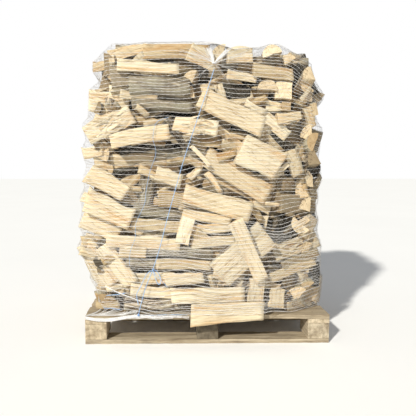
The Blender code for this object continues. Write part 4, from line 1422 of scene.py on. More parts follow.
@dataclass
class Firewood:
    """All the logs: the front's named ones as pieces of their own, and the rest joined by side."""

    layout: Layout
    finishes: Finishes
    named_draw: int = 900
    rest_draw: int = 1300
    between_draw: int = 41
    inner_draw: int = 77
    side_looks: tuple = (Look.PALE, Look.CREAM, Look.CREAM, Look.TAN, Look.BROWN)
    bark_looks: tuple = (Look.OLIVE, Look.OLIVE, Look.BROWN)
    # Darker looks for the odd pieces on the front's right end: painted shade
    painted_shade_looks: tuple = (Look.TAN, Look.ORANGE, Look.BROWN, Look.BROWN)
    # The logs whose faces are torn into broad flakes
    flaked: tuple = ("left_top", "bright_upper", "rising_low", "slope_left")
    flakes: int = 22
    flake_breadth: float = 4.0
    named_slivers: int = 9
    front_slivers: int = 4
    odd_slivers: int = 2
    pile_slivers: int = 3
    # How far along the front an odd piece may reach, below the shoulder and above it
    shoulder: float = 120.0
    front_reach: tuple = (-55.0, 51.0)
    shoulder_reach: tuple = (-47.0, 44.0)
    side_margin: float = 6.0
    # From here the front's right end is in shade: its odd pieces turn away, and take darker looks that are
    # painted shade
    shaded_from: float = 31.0
    behind: float = 2.0
    # Each side's inner logs: where a row's logs are, their length, and how deep they lie
    inner_rows: tuple = (
        ("front", (-0.33, 0.0, 0.33), 34, 0.13),
        ("back", (-0.33, 0.0, 0.33), 34, 0.12),
        ("left", (-0.13, 0.15), 28, 0.14),
        ("right", (-0.13, 0.15), 28, 0.14),
    )
    inner_levels: int = 11
    inner_rise: float = 10.6
    inner_face: tuple = (12.5, 14.5)

    def __post_init__(self) -> None:
        """Models the patterns."""
        self.fine = LogPatterns(along=16, across=9, sides=28, finishes=self.finishes).build()
        self.plain = LogPatterns(along=5, across=4, sides=14, finishes=self.finishes).build()
        self.splinters = Splinters(self.finishes)
        self.odd = LogPile(self.plain, 1.0)
        logs = self.layout.everything()
        self.outer = {side: [laid for laid in logs if laid.log.side == side] for side in SIDES}

    def build(self) -> list[Object]:
        """Lays every log."""
        pieces = self._named()
        groups = self._others()
        groups["inner"] = self._inner()
        groups["between"] = self._between()
        for side, logs in groups.items():
            LOGGER.info("%s: %d logs", side, len(logs))
            pieces.append(shown_as(joined(logs, f"logs_{side}"), "heap_firewood", "firewood_heap"))
        return pieces

    def _named(self) -> list[Object]:
        """The front's named logs, each a piece with its slivers."""
        pieces = []
        pile = LogPile(self.fine, 0.985)
        for index, (name, laid) in enumerate(self.layout.named.items()):
            draw = Random(self.named_draw + index)
            title = name.replace("log_", "split_log_")
            log = pile.log(laid, title, draw, laid.log.look)
            slivers = self.splinters.on(log, laid, self.named_slivers, draw, laid.log.look)
            if name.endswith(self.flaked):
                slivers += self.splinters.on(log, laid, self.flakes, draw, Look.WHITE, self.flake_breadth)
            pieces.append(shown_as(joined([log, *slivers], title), "split_firewood", name))
        return pieces

    def _others(self) -> dict[str, list[Object]]:
        """The other outer logs with their slivers, by side."""
        groups: dict[str, list[Object]] = {}
        front_pile, plain_pile = LogPile(self.fine, 1.04), LogPile(self.plain, 0.98)
        for index, laid in enumerate(self.layout.others):
            draw = Random(self.rest_draw + index)
            front = laid.log.side == "front"
            barked = laid.log.kind is Split.BARK
            look = laid.log.look or draw.choice(self.bark_looks if barked else self.side_looks)
            log = (front_pile if front else plain_pile).log(laid, f"rest_{index:03d}", draw, look)
            slivers = self.splinters.on(log, laid, self.front_slivers if front else 0, draw, look)
            groups.setdefault(laid.log.side, []).extend([log, *slivers])
        return groups

    def _between(self) -> list[Object]:
        """Odd pieces close behind the outer logs, shards in the front's gaps, and the small pile."""
        draw = Random(self.between_draw)
        logs = []
        for fill in GAP_FILLS:
            for level, column in itertools.product(range(fill.rows), range(fill.columns)):
                x = fill.first[0] + column * fill.step[0] + draw.uniform(-fill.stray[0], fill.stray[0])
                x += (level % 2) * fill.offset
                height = fill.first[1] + level * fill.step[1] + draw.uniform(-fill.stray[1], fill.stray[1])
                sizes = (draw.uniform(*fill.length), draw.uniform(*fill.face))
                if not fill.gaps_only or self._cover(fill.side, x, height) == 0.0:
                    logs += self._odd_piece(fill, x, height, sizes, draw)
        for x, height, length, face, tilt, yaw, kind, look in SMALL_PILE:
            # The near black painted-shade slabs start a little nearer the front than the other pieces
            ahead = 0.5 if look == "DARK" else 0.1
            depth = (self._cover("front", x, height) or 5.0) - ahead
            roll = draw.uniform(-30, 30)
            log = Log("front", x, height, length, face, tilt, yaw, roll, Split(kind), depth, Look[look])
            logs += self._with_slivers(PlacedLog(log, draw, HEAP_LOG_SIDES), self.pile_slivers, draw)
        return logs

    def _cover(self, side: str, x: float, height: float) -> float:
        """How deep a side's logs at a place start, the deepest of them, or 0 in a gap, in centimetres.

        Args:
            side: The side of the heap.
            x: How far along the side, in centimetres.
            height: How high.

        Returns:
            How deep they start.
        """
        deepest = 0.0
        for laid in self.outer[side]:
            log = laid.log
            turn = radians(log.tilt)
            over, up = x - log.x, height - log.z
            along = over * cos(turn) + up * sin(turn)
            across = up * cos(turn) - over * sin(turn)
            long = log.length * cos(radians(log.yaw))
            if abs(log.yaw) > END_ON_FROM:
                long = log.face
            if abs(along) < 0.52 * long and abs(across) < 0.46 * log.face:
                start = 100 * (laid.points[:, 1].min() + PALLET_Y / 2) if side == "front" else log.depth
                deepest = max(deepest, start, 0.1)
        return deepest

    def _odd_piece(
        self, fill: GapFill, x: float, height: float, sizes: tuple[float, float], draw: Random
    ) -> list[Object]:
        """One odd piece of a side, of a length and a face, with its slivers.

        Args:
            fill: What it is one of.
            x: Where its middle is along the side, in centimetres.
            height: How high its middle is.
            sizes: Its length and face.
            draw: Where its look and turns come from.

        Returns:
            The piece and its slivers.
        """
        look = draw.choice(fill.looks)
        length, face = sizes
        tilt = draw.gauss(0, fill.tilt)
        half = length / 2 * cos(radians(tilt))
        half_width = (PALLET_X + PALLET_Y) / 2 - SIDES[fill.side][1]
        right = 100 * half_width - self.side_margin
        left = -right
        if fill.side == "front":
            left, right = self.front_reach if height < self.shoulder else self.shoulder_reach
        x = min(right - half, max(left + half, x))
        fall = 100 * self.layout.rounded_depth(x / 100, half_width, height / 100)
        covered = self._cover(fill.side, x, height) + self.behind
        depth = max(fill.depth + fall, covered) + draw.uniform(0, 2.5)
        yaw = draw.uniform(-14, 14)
        # On the right end: turned away, set deeper, and given a darker look as painted shade
        if fill.side == "front" and x > self.shaded_from:
            yaw, depth = draw.uniform(18, 44), depth + 2.5
            look = draw.choice(self.painted_shade_looks)
        kind = draw.choice((Split.HALF, Split.QUARTER, Split.QUARTER, Split.SLAB))
        log = Log(fill.side, x, height, length, face, tilt, yaw, draw.uniform(-50, 50), kind, depth, look)
        laid = PlacedLog(log, draw, HEAP_LOG_SIDES)
        laid = self.layout.pushed(laid, self.outer[fill.side], -0.6 * face / 100, 8)
        return self._with_slivers(laid, self.odd_slivers, draw)

    def _with_slivers(self, laid: PlacedLog, count: int, draw: Random) -> list[Object]:
        """An odd piece at its place, and so many slivers on it."""
        made = self.odd.log(laid, "odd_piece", draw, laid.log.look)
        return [made, *self.splinters.on(made, laid, count, draw, laid.log.look)]

    def _inner(self) -> list[Object]:
        """A second layer of logs inside the first, that shows only through the gaps, in near black painted
        shade.
        """
        draw = Random(self.inner_draw)
        pile = LogPile(self.plain, 0.95)
        logs = []
        for log in self._inner_logs(draw):
            laid = PlacedLog(log, draw, HEAP_LOG_SIDES)
            logs.append(pile.log(laid, f"inner_{len(logs):03d}", draw, log.look))
        return logs

    def _inner_logs(self, draw: Random) -> Iterator[Log]:
        """The inner logs, side by side and then the top's, each drawn when its turn comes.

        Args:
            draw: Where their sizes and turns come from.

        Returns:
            The logs.
        """
        for side, middles, length, deep in self.inner_rows:
            for level, middle in itertools.product(range(self.inner_levels), middles):
                kind = draw.choice((Split.HALF, Split.QUARTER, Split.BARK))
                deeper = 0.06 if level == self.inner_levels - 1 else 0.0
                depth = 100 * (deep + draw.uniform(0.0, 0.03) + deeper)
                x, height = middle * 100 + draw.uniform(-2, 2), 22 + level * self.inner_rise
                face, tilt = draw.uniform(*self.inner_face), draw.uniform(-14, 14)
                roll = draw.uniform(-20, 20)
                # Each in the near black painted-shade look
                yield Log(side, x, height, length, face, tilt, 0, roll, kind, depth, Look.DEEP)
        for row, column in itertools.product(range(5), range(3)):
            x, y = (column - 1) * 30 + draw.uniform(-3, 3), (row - 2) * 10.5
            tilt = draw.uniform(-12, 12)
            yield Log("top", x, y, 34, 12.5, tilt, 0, 0, Split.HALF, 12.0, Look.BROWN)


# Net


@dataclass
class NetSurface:
    """The surface that the stretched net takes over the logs, by turn round the heap and height."""

    points: np.ndarray
    turns: int = 144
    low: float = 0.150
    step: float = 0.020
    window: float = 0.020
    slope: float = 0.42
    closing: float = 1.33
    crown_from: float = 1.22
    # The height at which the net turns over the top
    shoulder: float = 1.405
    off: float = 0.004
    # What a row's reach takes from itself and from each row beside it
    own_share: float = 0.6
    next_share: float = 0.2
    widest_turn: float = radians(80)
    front_turns: tuple = (-pi + 0.05, -0.05)

    def __post_init__(self) -> None:
        """Finds how far the logs, with points all over them, reach each way at each height."""
        points = self.points
        turns = np.arange(self.turns) * 2 * pi / self.turns
        normals = np.column_stack([np.cos(turns), np.sin(turns)])
        self.top = points[:, 2].max() + self.off
        self.crown = points[points[:, 2] > self.crown_from]
        heights = np.arange(self.low, self.top + self.step, self.step)
        near = (points[np.abs(points[:, 2] - height) < self.window] for height in heights)
        spread = np.array([(row[:, :2] @ normals.T).max(0) for row in near])
        padded = np.vstack([spread[:1], spread, spread[-1:]])
        reach = self.next_share * padded[:-2] + self.own_share * padded[1:-1] + self.next_share * padded[2:]
        reach += self.off
        over = np.maximum.accumulate(reach[::-1])[::-1]
        reach = np.where(heights[:, None] > self.closing, over, reach)
        apart = np.abs((turns[:, None] - turns[None] + pi) % (2 * pi) - pi)
        slope = np.where(apart < self.widest_turn, 1 / np.cos(np.minimum(apart, self.widest_turn)), np.inf)
        self.radii = (reach[:, None, :] * slope[None]).min(2)

    def over(self, x: float, y: float) -> float:
        """The height of the net over a place on the top: as low as its greatest slope lets it lie."""
        away = np.hypot(self.crown[:, 0] - x, self.crown[:, 1] - y)
        return float((self.crown[:, 2] - self.slope * away).max()) + self.off

    def at(self, turn: float, height: float) -> Vector:
        """The point of the net at a turn and a height.

        Args:
            turn: The turn round the heap, in radians.
            height: The height.

        Returns:
            The point.
        """
        row = min(max((height - self.low) / self.step, 0.0), len(self.radii) - 1.001)
        column = (turn / (2 * pi) * self.turns) % self.turns
        i, j = int(row), int(column)
        k = (j + 1) % self.turns
        u, v = row - i, column - j
        low = self.radii[i, j] * (1 - v) + self.radii[i, k] * v
        high = self.radii[i + 1, j] * (1 - v) + self.radii[i + 1, k] * v
        radius = low * (1 - u) + high * u
        return Vector((radius * cos(turn), radius * sin(turn), height))

    def front(self, x: float, height: float, off: float = 0.0) -> Vector:
        """The point of the net's front at a place across it, or so far before it.

        Args:
            x: How far across.
            height: How high.
            off: How far before the net.

        Returns:
            The point.
        """
        low, high = self.front_turns
        for _ in range(40):
            middle = (low + high) / 2
            if self.at(middle, height).x < x:
                low = middle
            else:
                high = middle
        place = self.at((low + high) / 2, height)
        return Vector((x, place.y - off, height))


@dataclass
class KnittedNet:
    """The white knitted net: chains round the heap, and zigzag threads between them."""

    surface: NetSurface
    finishes: Finishes
    rows: int = 70
    foot: float = 0.160
    low_rows: int = 22
    low_foot: float = 0.165
    low_top: float = 0.60
    chain_step: float = 0.016
    top_chain_step: float = 0.0208
    zigzag_step: float = 0.024
    girth: float = 3.7
    top_rows: int = 11
    chain: float = 0.00078
    stitch: tuple = (0.65, 1.35)
    thread: float = 0.00028
    loose: float = 0.10
    stray: float = 0.28
    # Each wave of its slack: how often round, how often up, where it starts, and its height
    wave_ranges: tuple = ((1, 15), (2, 22), (0, 6.28), (0.001, 0.004))
    # Where the rows crowd together on the front: (x, z, half width, half height, how much)
    crowded: tuple = (
        (KNOT.x, KNOT.z, 0.13, 0.10, 0.62), (-0.27, 0.700, 0.17, 0.13, 0.50), (0.40, 0.575, 0.15, 0.08, 0.45),
        (-0.22, 1.225, 0.20, 0.07, 0.35), (0.42, 0.300, 0.14, 0.07, 0.40), (-0.28, 0.460, 0.22, 0.08, 0.40),
    )
    # Where they are drawn down on its right shoulder: (x, half width, z, half height, how far)
    drawn_down: tuple = (0.36, 0.18, 1.31, 0.10, 0.085)
    # Where the top is drawn together, across and back, and how far under the highest log
    drawn_to: tuple = (0.030, -0.335)
    under_top: float = 0.006
    top_rise: float = 12.0
    second_turn: float = 0.02
    second_sway: float = 0.006
    second_off: float = 0.0025

    def __post_init__(self) -> None:
        """Draws the waves of its slack."""
        self.draw = Random(5)
        self.waves = [[self.draw.uniform(*ends) for ends in self.wave_ranges] for _ in range(11)]

    def build(self) -> list[Object]:
        """Knits it."""
        chains, threads = self._layer(
            self.foot, self.surface.shoulder, self.rows, self.point, self.chain_step
        )
        top_chains, top_threads = self._layer(0.0, 1.0, self.top_rows, self.top_point, self.top_chain_step)
        chains += top_chains[1:]
        threads += top_threads
        self.draw = Random(6)
        below, between = self._layer(
            self.low_foot, self.low_top, self.low_rows, self.outer_point, self.chain_step
        )
        pieces = [self._chains("net_chains", chains), self._threads("net_threads", threads)]
        second = [self._chains("low_chains", below), self._threads("low_threads", between)]
        pieces.append(joined(second, "net_second_turn"))
        return [shown_as(piece, "white_net", "net") for piece in pieces]

    def _chains(self, name: str, rings: list[list[Vector]]) -> Object:
        """Chains of stitches, as one mesh."""
        return cords(name, rings, self.chain, self.finishes.net, 0, closed=True, swells=self.stitch)

    def _threads(self, name: str, rings: list[list[Vector]]) -> Object:
        """Fine threads, as one mesh."""
        return cords(name, rings, self.thread, self.finishes.net_fine, 0, closed=True)

    def _layer(
        self,
        low: float,
        high: float,
        count: int,
        where: Callable[[float, float], Vector],
        step: float,
    ) -> tuple[list[list[Vector]], list[list[Vector]]]:
        """One layer round the heap.

        Args:
            low: Its lowest row's height, or share of the way over the top.
            high: Its highest row's.
            count: How many rows it has.
            where: The net's place at a turn and a row's height or share.
            step: The length of a chain's stitch.

        Returns:
            Its chains, and the threads between them.
        """
        rows = [low + (high - low) * index / (count - 1) for index in range(count)]
        chains = [[where(turn, row) for turn in self._turns(step)] for row in rows]
        threads = [self._zigzag(where, lower, upper) for lower, upper in zip(rows, rows[1:])]
        return chains, threads

    def point(self, turn: float, height: float) -> Vector:
        """Where the net's row of a height runs at a turn: near level, with slack, and drawn to the knot.

        Args:
            turn: The turn round the heap.
            height: The row's height before its slack.

        Returns:
            The row's point.
        """
        place = self.surface.at(turn, height)
        sag = sum(size * sin(k * turn + m * height + phase) for k, m, phase, size in self.waves)
        if place.y < 0:
            for x, z, wide, tall, share in self.crowded:
                away = hypot((place.x - x) / wide, (height - z) / tall)
                sag += (z - height) * share * exp(-(away**2))
            x, wide, z, tall, most = self.drawn_down
            past = min(1.0, max(0.0, (place.x - x) / wide))
            sag -= most * past * exp(-(((height - z) / tall) ** 2))
        return self.surface.at(turn, max(self.surface.low, height + sag))

    def top_point(self, turn: float, share: float) -> Vector:
        """Where the net runs over the top, on its way to where it is drawn together at the front.

        Args:
            turn: The turn round the heap.
            share: How far it is on its way.

        Returns:
            The point.
        """
        rim = self.point(turn, self.surface.shoulder)
        place = rim.lerp(Vector((*self.drawn_to, self.surface.top - self.under_top)), share)
        level = self.surface.over(place.x, place.y)
        place.z = rim.z + (level - rim.z) * min(1.0, share * self.top_rise)
        return place

    def outer_point(self, turn: float, height: float) -> Vector:
        """Where the second turn of net, lower down and outside the first, runs."""
        place = self.point(turn + self.second_turn, height + self.second_sway * sin(9 * turn))
        return place + Vector((place.x, place.y, 0.0)).normalized() * self.second_off

    def _turns(self, step: float) -> list[float]:
        """Turns round the heap, about so far apart."""
        count = int(self.girth / step)
        return [2 * pi * index / count for index in range(count)]

    def _zigzag(self, where: Callable[[float, float], Vector], lower: float, upper: float) -> list[Vector]:
        """A thread that goes up and down between two rows.

        Args:
            where: The net's place at a turn and a row.
            lower: The lower row.
            upper: The upper one.

        Returns:
            The thread's points.
        """
        turns = self._turns(self.zigzag_step / 2)
        stray, loose = turns[1] * self.stray, (upper - lower) * self.loose
        route = []
        for index, turn in enumerate(turns[: len(turns) // 2 * 2]):
            turn += self.draw.uniform(-stray, stray)
            route.append(where(turn, (upper if index % 2 else lower) + self.draw.uniform(-loose, loose)))
        return route


def smooth_route(route: Sequence[Vector], spacing: float) -> list[Vector]:
    """Points about so far apart on a smooth line through a route.

    Args:
        route: The points that it runs through.
        spacing: How far apart its own points are.

    Returns:
        The line's points.
    """
    through = [route[0], *route, route[-1]]
    places = []
    for before, start, end, after in zip(through, through[1:], through[2:], through[3:]):
        first, second = end - before, 2 * before - 5 * start + 4 * end - after
        third = 3 * start - before - 3 * end + after
        count = max(1, round((end - start).length / spacing))
        for t in (step / count for step in range(count)):
            places.append(0.5 * (2 * start + first * t + second * t**2 + third * t**3))
    return [*places, route[-1]]


def cords(
    name: str,
    routes: Sequence[Sequence[Vector]],
    radius: float,
    finish: Material,
    sides: int = 1,
    closed: bool = False,
    swells: Sequence[float] = (1.0,),
) -> Object:
    """Cords along routes, as one mesh.

    Args:
        name: The object's name.
        routes: The cords' middles.
        radius: Their radius.
        finish: Their material.
        sides: How finely they are rounded.
        closed: True for rings, and False for cords with two ends.
        swells: Their thickness at one point after another, as a share of the radius.

    Returns:
        The cords' object.
    """
    curve = bpy.data.curves.new(name, "CURVE")
    curve.dimensions = "3D"
    curve.bevel_depth = radius
    curve.bevel_resolution = sides
    curve.use_fill_caps = not closed
    for route in routes:
        spline = curve.splines.new("POLY")
        spline.points.add(len(route) - 1)
        spline.use_cyclic_u = closed
        for point, place, swell in zip(spline.points, route, itertools.cycle(swells)):
            point.co = (*place, 1.0)
            point.radius = swell
    curve.materials.append(finish)
    activate(in_scene(name, curve))
    bpy.ops.object.convert(target="MESH")
    if not closed:
        bpy.ops.object.shade_smooth()
    return bpy.context.object


@dataclass(frozen=True)
class Lay:
    """How a cord is laid from its plies.

    Attributes:
        offset: How far each ply's middle is from the cord's.
        pitch: The length of one turn.
        plies: How many there are.
    """

    offset: float
    pitch: float
    plies: int = 2

    def along(self, *routes: Sequence[Vector]) -> list[list[Vector]]:
        """Every ply's middle, along each route."""
        return [ply for route in routes for ply in self._twisted(smooth_route(route, self.pitch / 8))]

    def _twisted(self, points: list[Vector]) -> list[list[Vector]]:
        """The plies round a line of points.

        Args:
            points: The line.

        Returns:
            Each ply's middle.
        """
        made: list[list[Vector]] = [[] for _ in range(self.plies)]
        run = 0.0
        for before, point, after in zip([points[0], *points], points, [*points[1:], points[-1]]):
            along = (after - before).normalized()
            side = along.cross(Vector((0.0, 1.0, 0.0))).normalized()
            out = side.cross(along)
            run += (point - before).length
            for ply, places in enumerate(made):
                angle = 2 * pi * (run / self.pitch + ply / self.plies)
                places.append(point + (side * cos(angle) + out * sin(angle)) * self.offset)
        return made


@dataclass
class NetGather:
    """The top of the net, drawn together in a knot, with its folds above and its bunched lower edge."""

    surface: NetSurface
    finishes: Finishes
    strands: int = 30
    strand: float = 0.0006
    knot_off: float = 0.012
    highest: float = 1.425
    # Each fold's lean in degrees, and its length
    folds: tuple = ((-21, 0.078), (-16, 0.070), (50, 0.100), (45, 0.086))
    fold_strands: int = 14
    fold_strand: float = 0.0009
    hem: tuple = (
        (-0.596, 0.136), (-0.530, 0.126), (-0.460, 0.128), (-0.400, 0.138),
        (-0.330, 0.142), (-0.250, 0.136), (-0.170, 0.138), (-0.092, 0.136),
    )
    hem_off: float = 0.0065
    hem_strand: float = 0.0011
    hem_lay: Lay = Lay(0.0034, 0.15, 4)
    rope: tuple = ((-0.506, 0.280), (-0.440, 0.252), (-0.380, 0.232), (-0.320, 0.214))
    rope_lay: Lay = Lay(0.0016, 0.05, 4)
    loose_strands: int = 20
    hanging_strands: int = 26
    deck_strand_z: float = 0.1465
    left_end: float = -0.594

    def __post_init__(self) -> None:
        """Starts the draw of its threads."""
        self.draw = Random(21)

    def build(self) -> list[Object]:
        """Makes the folds and the knot, and the lower edge."""
        knot = self.surface.front(KNOT.x, KNOT.z, self.knot_off)
        strands = [self._strand(knot, downward=index % 5 == 0) for index in range(self.strands)]
        fan = cords("gather_strands", strands, self.strand, self.finishes.net_fine, 0)
        folds = [self._fold(knot, lean, length) for lean, length in self.folds]
        deselect()
        bpy.ops.mesh.primitive_torus_add(
            major_segments=18, minor_segments=8, major_radius=0.0085, minor_radius=0.0035, location=knot
        )
        band = rested(bpy.context.object)
        band.data.materials.append(self.finishes.net)
        gather = joined([fan, *folds, band], "net_gathered_top")
        hem = self._hem()
        return [shown_as(gather, "white_net", "net_gather"), shown_as(hem, "white_net", "net_hem")]

    def _strand(self, knot: Vector, downward: bool) -> list[Vector]:
        """One loose thread that runs from the knot over the net.

        Args:
            knot: The knot.
            downward: True where it runs down from the knot.

        Returns:
            The thread's points.
        """
        lean = self.draw.uniform(-1.0, 1.0)
        reach = 0.025 + 0.17 * abs(lean) ** 1.5
        end_x = KNOT.x + copysign(reach, lean) * (1.15 if lean > 0 else 0.9)
        end_z = KNOT.z + 0.085 - 0.035 * abs(lean) + self.draw.uniform(-0.012, 0.012)
        if downward:
            end_z = KNOT.z - 0.05 - self.draw.uniform(0.0, 0.05)
        far = self.surface.front(end_x, min(end_z, self.highest), 0.002)
        bend = Vector((self.draw.uniform(-0.006, 0.006), -0.004, self.draw.uniform(-0.004, 0.004)))
        return smooth_route([knot, knot.lerp(far, 0.45) + bend, far], 0.012)

    def _fold(self, knot: Vector, lean: float, length: float) -> Object:
        """One drawn-up fold of net above the knot: a bundle of threads that spreads upwards.

        Args:
            knot: The knot.
            lean: How far it leans to the right, in degrees.
            length: Its length.

        Returns:
            The fold's object.
        """
        way = Vector((sin(radians(lean)), 0.0, cos(radians(lean))))
        strands = []
        for _ in range(self.fold_strands):
            spread = Vector([self.draw.uniform(*ends) for ends in ((-0.1, 0.1), (-0.02, 0.12), (-0.1, 0.1))])
            tip = knot + (way + spread).normalized() * length * self.draw.uniform(0.8, 1.05)
            bend = knot.lerp(tip, 0.5) + Vector((self.draw.uniform(-0.004, 0.004), -0.003, 0.0))
            strands.append(smooth_route([knot, bend, tip], 0.014))
        return cords("fold", strands, self.fold_strand, self.finishes.net, 0)

    def _hem(self) -> Object:
        """The net's lower edge, bunched along the deck's front left corner."""
        edge = PALLET_Y / 2 + self.hem_off
        route = [Vector((x, -edge, z)) for x, z in self.hem]
        strands = self.hem_lay.along(route)
        for _ in range(self.loose_strands):
            stop = 4 + self.draw.randrange(5)
            loose = [
                place + Vector((0.0, self.draw.uniform(-0.0045, 0.001), self.draw.uniform(-0.010, 0.008)))
                for place in route[:stop]
            ]
            strands.append(smooth_route(loose, 0.012))
        for _ in range(self.hanging_strands):
            start_x, start_z = self.draw.uniform(-0.52, -0.34), self.draw.uniform(0.152, 0.170)
            start = self.surface.front(start_x, start_z, 0.001)
            end_x = max(start.x - self.draw.uniform(0.02, 0.20), self.left_end)
            end = Vector((end_x, -edge + 0.002, self.deck_strand_z))
            middle = start.lerp(end, 0.5)
            middle.z = self.deck_strand_z
            strands.append(smooth_route([start, middle, end], 0.015))
        rope = [self.surface.front(x, z, 0.005) for x, z in self.rope]
        strands += self.rope_lay.along(smooth_route(rope, 0.012))
        return cords("net_lower_edge", strands, self.hem_strand, self.finishes.net, 0)


@dataclass(frozen=True)
class Twine:
    """The pale blue twine from the gathered top to its bow and the deck, and a thinner thread."""

    surface: NetSurface
    finishes: Finishes
    main: tuple = (
        (0.022, 1.318), (-0.010, 1.22), (-0.065, 1.06), (-0.118, 0.90), (-0.158, 0.76),
        (-0.200, 0.61), (-0.236, 0.47), (-0.268, 0.372), (-0.300, 0.290), (-0.325, 0.205),
    )
    lower: tuple = ((-0.276, 0.368), (-0.298, 0.348), (-0.326, 0.290), (-0.346, 0.250), (-0.338, 0.200))
    thin: tuple = (
        (-0.190, 1.095), (-0.245, 1.070), (-0.262, 1.000), (-0.250, 0.930), (-0.278, 0.845),
        (-0.296, 0.760), (-0.305, 0.690), (-0.345, 0.600), (-0.350, 0.530), (-0.375, 0.460),
        (-0.380, 0.390),
    )
    bow: tuple = (
        (-0.268, 0.376), (-0.248, 0.366), (-0.232, 0.338), (-0.230, 0.310), (-0.240, 0.302),
        (-0.252, 0.322), (-0.262, 0.356), (-0.270, 0.376),
    )
    across: tuple = ((-0.590, 0.170), (-0.530, 0.166), (-0.470, 0.170), (-0.430, 0.166))
    rising: tuple = ((-0.530, 0.222), (-0.495, 0.232), (-0.450, 0.240), (-0.405, 0.250))
    free_end: tuple = ((-0.262, 0.366), (-0.248, 0.342), (-0.222, 0.316), (-0.196, 0.290))
    lying: tuple = ((-0.338, 0.149), (-0.278, 0.146), (-0.210, 0.148), (-0.100, 0.147))
    lying_y: float = -PALLET_Y / 2 - 0.004
    tie_y: float = -PALLET_Y / 2 - 0.012
    # Each thickness of it: how its plies are laid, and a ply's radius
    thick: tuple = (Lay(0.0009, 0.011), 0.0011)
    loose: tuple = (Lay(0.0008, 0.011), 0.0010)
    fine: tuple = (Lay(0.0005, 0.007), 0.0006)

    def build(self) -> list[Object]:
        """Makes the cords."""
        down = [*self._on_net(self.main, 0.006), Vector((TIE.x, self.tie_y, TIE.z))]
        foot = [
            [Vector((x, self.lying_y, z)) for x, z in self.lying],
            self._on_net(self.across, 0.004),
            self._on_net(self.rising, 0.004),
            self._tie(),
        ]
        made = (
            self._laid("twine_down", self.thick, down),
            self._laid("twine_below_bow", self.thick, self._on_net(self.lower, 0.010)),
            self._laid("twine_bow", self.thick, self._on_net(self.bow, 0.012)),
            self._laid("twine_round_foot", self.loose, *foot),
            self._laid("twine_thread", self.fine, self._on_net(self.thin, 0.005)),
        )
        replaced = (("twine_main",), ("twine_lower",), (), (), ("twine_thin",))
        return [shown_as(cord, "blue_twine", *nodes) for cord, nodes in zip(made, replaced)]

    def _laid(self, name: str, thickness: tuple[Lay, float], *routes: Sequence[Vector]) -> Object:
        """Laid cords of one thickness along routes, as one mesh."""
        lay, radius = thickness
        return cords(name, lay.along(*routes), radius, self.finishes.twine)

    def _tie(self) -> list[Vector]:
        """The small knot at the deck's edge."""
        route = []
        for t in (index * 0.35 for index in range(19)):
            x, z = TIE.x + 0.004 * sin(2 * t), TIE.z + 0.005 * sin(3 * t)
            route.append(Vector((x, self.tie_y + 0.002 * cos(3 * t), z)))
        return route

    def tail(self) -> Object:
        """The bow's free end, which hangs in front of the net."""
        route = smooth_route(self._on_net(self.free_end, 0.012), 0.004)
        length = sum((b - a).length for a, b in zip(route, route[1:]))
        made = cords("twine_tail", [route], 0.0010, self.finishes.twine, 2)
        shown_as(made, "blue_twine")
        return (made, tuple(route[0]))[0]

    def _on_net(self, places: Sequence[tuple[float, float]], off: float) -> list[Vector]:
        """Places across and up, set so far in front of the net."""
        return [self.surface.front(x, z, off) for x, z in places]


@dataclass(frozen=True)
class Board:
    """One sawn board or block, from its solid's box.

    Attributes:
        node: The solid.
        along: The axis that its grain runs along.
        wear: How deep its edges are worn.
        age: Its brightness.
    """

    node: str
    along: int
    wear: float
    # Brightness, below 1 where shade is painted on the board as a darker colour
    age: float = 1.0

    edge: float = 0.002
    # How far apart its cuts are along its longest side, and along the others
    long_step: float = 0.030
    step: float = 0.022
    most_cuts: int = 40

    def build(self, finishes: Finishes, draw: Random) -> Object:
        """Saws it and wears its edges.

        Args:
            finishes: The materials.
            draw: Where its wear and tone come from.

        Returns:
            The board, as a piece of the scene.
        """
        low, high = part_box(self.node)
        size = high - low
        deselect()
        bpy.ops.mesh.primitive_cube_add(size=1.0, location=(low + high) / 2, scale=size)
        board = rested(bpy.context.object)
        board.name = "worn_" + self.node
        bevel = board.modifiers.new("Sawn edges", "BEVEL")
        bevel.width = self.edge
        bevel.segments = 2
        apply_modifiers(board)
        bpy.ops.object.mode_set(mode="EDIT")
        for axis in range(3):
            step = self.long_step if size[axis] == max(size) else self.step
            count = max(2, min(self.most_cuts, round(size[axis] / step)))
            for index in range(1, count):
                cut_across(axis, low[axis] + size[axis] * index / count)
        bpy.ops.object.mode_set(mode="OBJECT")
        mesh = board.data
        points = coordinates(mesh)
        middle = np.array((low + high) / 2)
        self._wear(points, middle, np.array(size) / 2, draw)
        set_coordinates(mesh, points)
        order = [self.along] + [axis for axis in range(3) if axis != self.along]
        places = (points - middle)[:, order]
        places += (draw.uniform(-5, 5), draw.uniform(-0.05, 0.05), draw.uniform(0.02, 0.06))
        set_grain(mesh, places, (self.age * draw.uniform(0.85, 1.12), draw.uniform(0.1, 0.8), 0.0))
        for finish in (finishes.board, finishes.board_end):
            mesh.materials.append(finish)
        for face in mesh.polygons:
            face.material_index = 1 if abs(face.normal[self.along]) > 0.9 else 0
        return shown_as(board, "pallet_wood", self.node)

    def _wear(self, points: np.ndarray, middle: np.ndarray, half: np.ndarray, draw: Random) -> None:
        """Moves the points at its edges in, here more and there less.

        Args:
            points: The board's points, which are changed.
            middle: Its middle.
            half: Half of its size.
            draw: Where the wear comes from.
        """
        inward = np.sign(middle - points)
        edges = (np.abs(points - middle) > half - 0.0025).sum(1) >= 2
        waves = [(draw.uniform(15, 70), draw.uniform(0, 6.3)) for _ in range(6)]
        along = points[:, self.along]
        chip = sum(np.sin(k * along + p + 40 * (points - middle) @ (0.7, 1.1, 1.3)) for k, p in waves) / 6
        depth = self.wear * np.clip(chip, 0.0, 1.0) * 2.0
        points[edges] += inward[edges] * depth[edges, None]


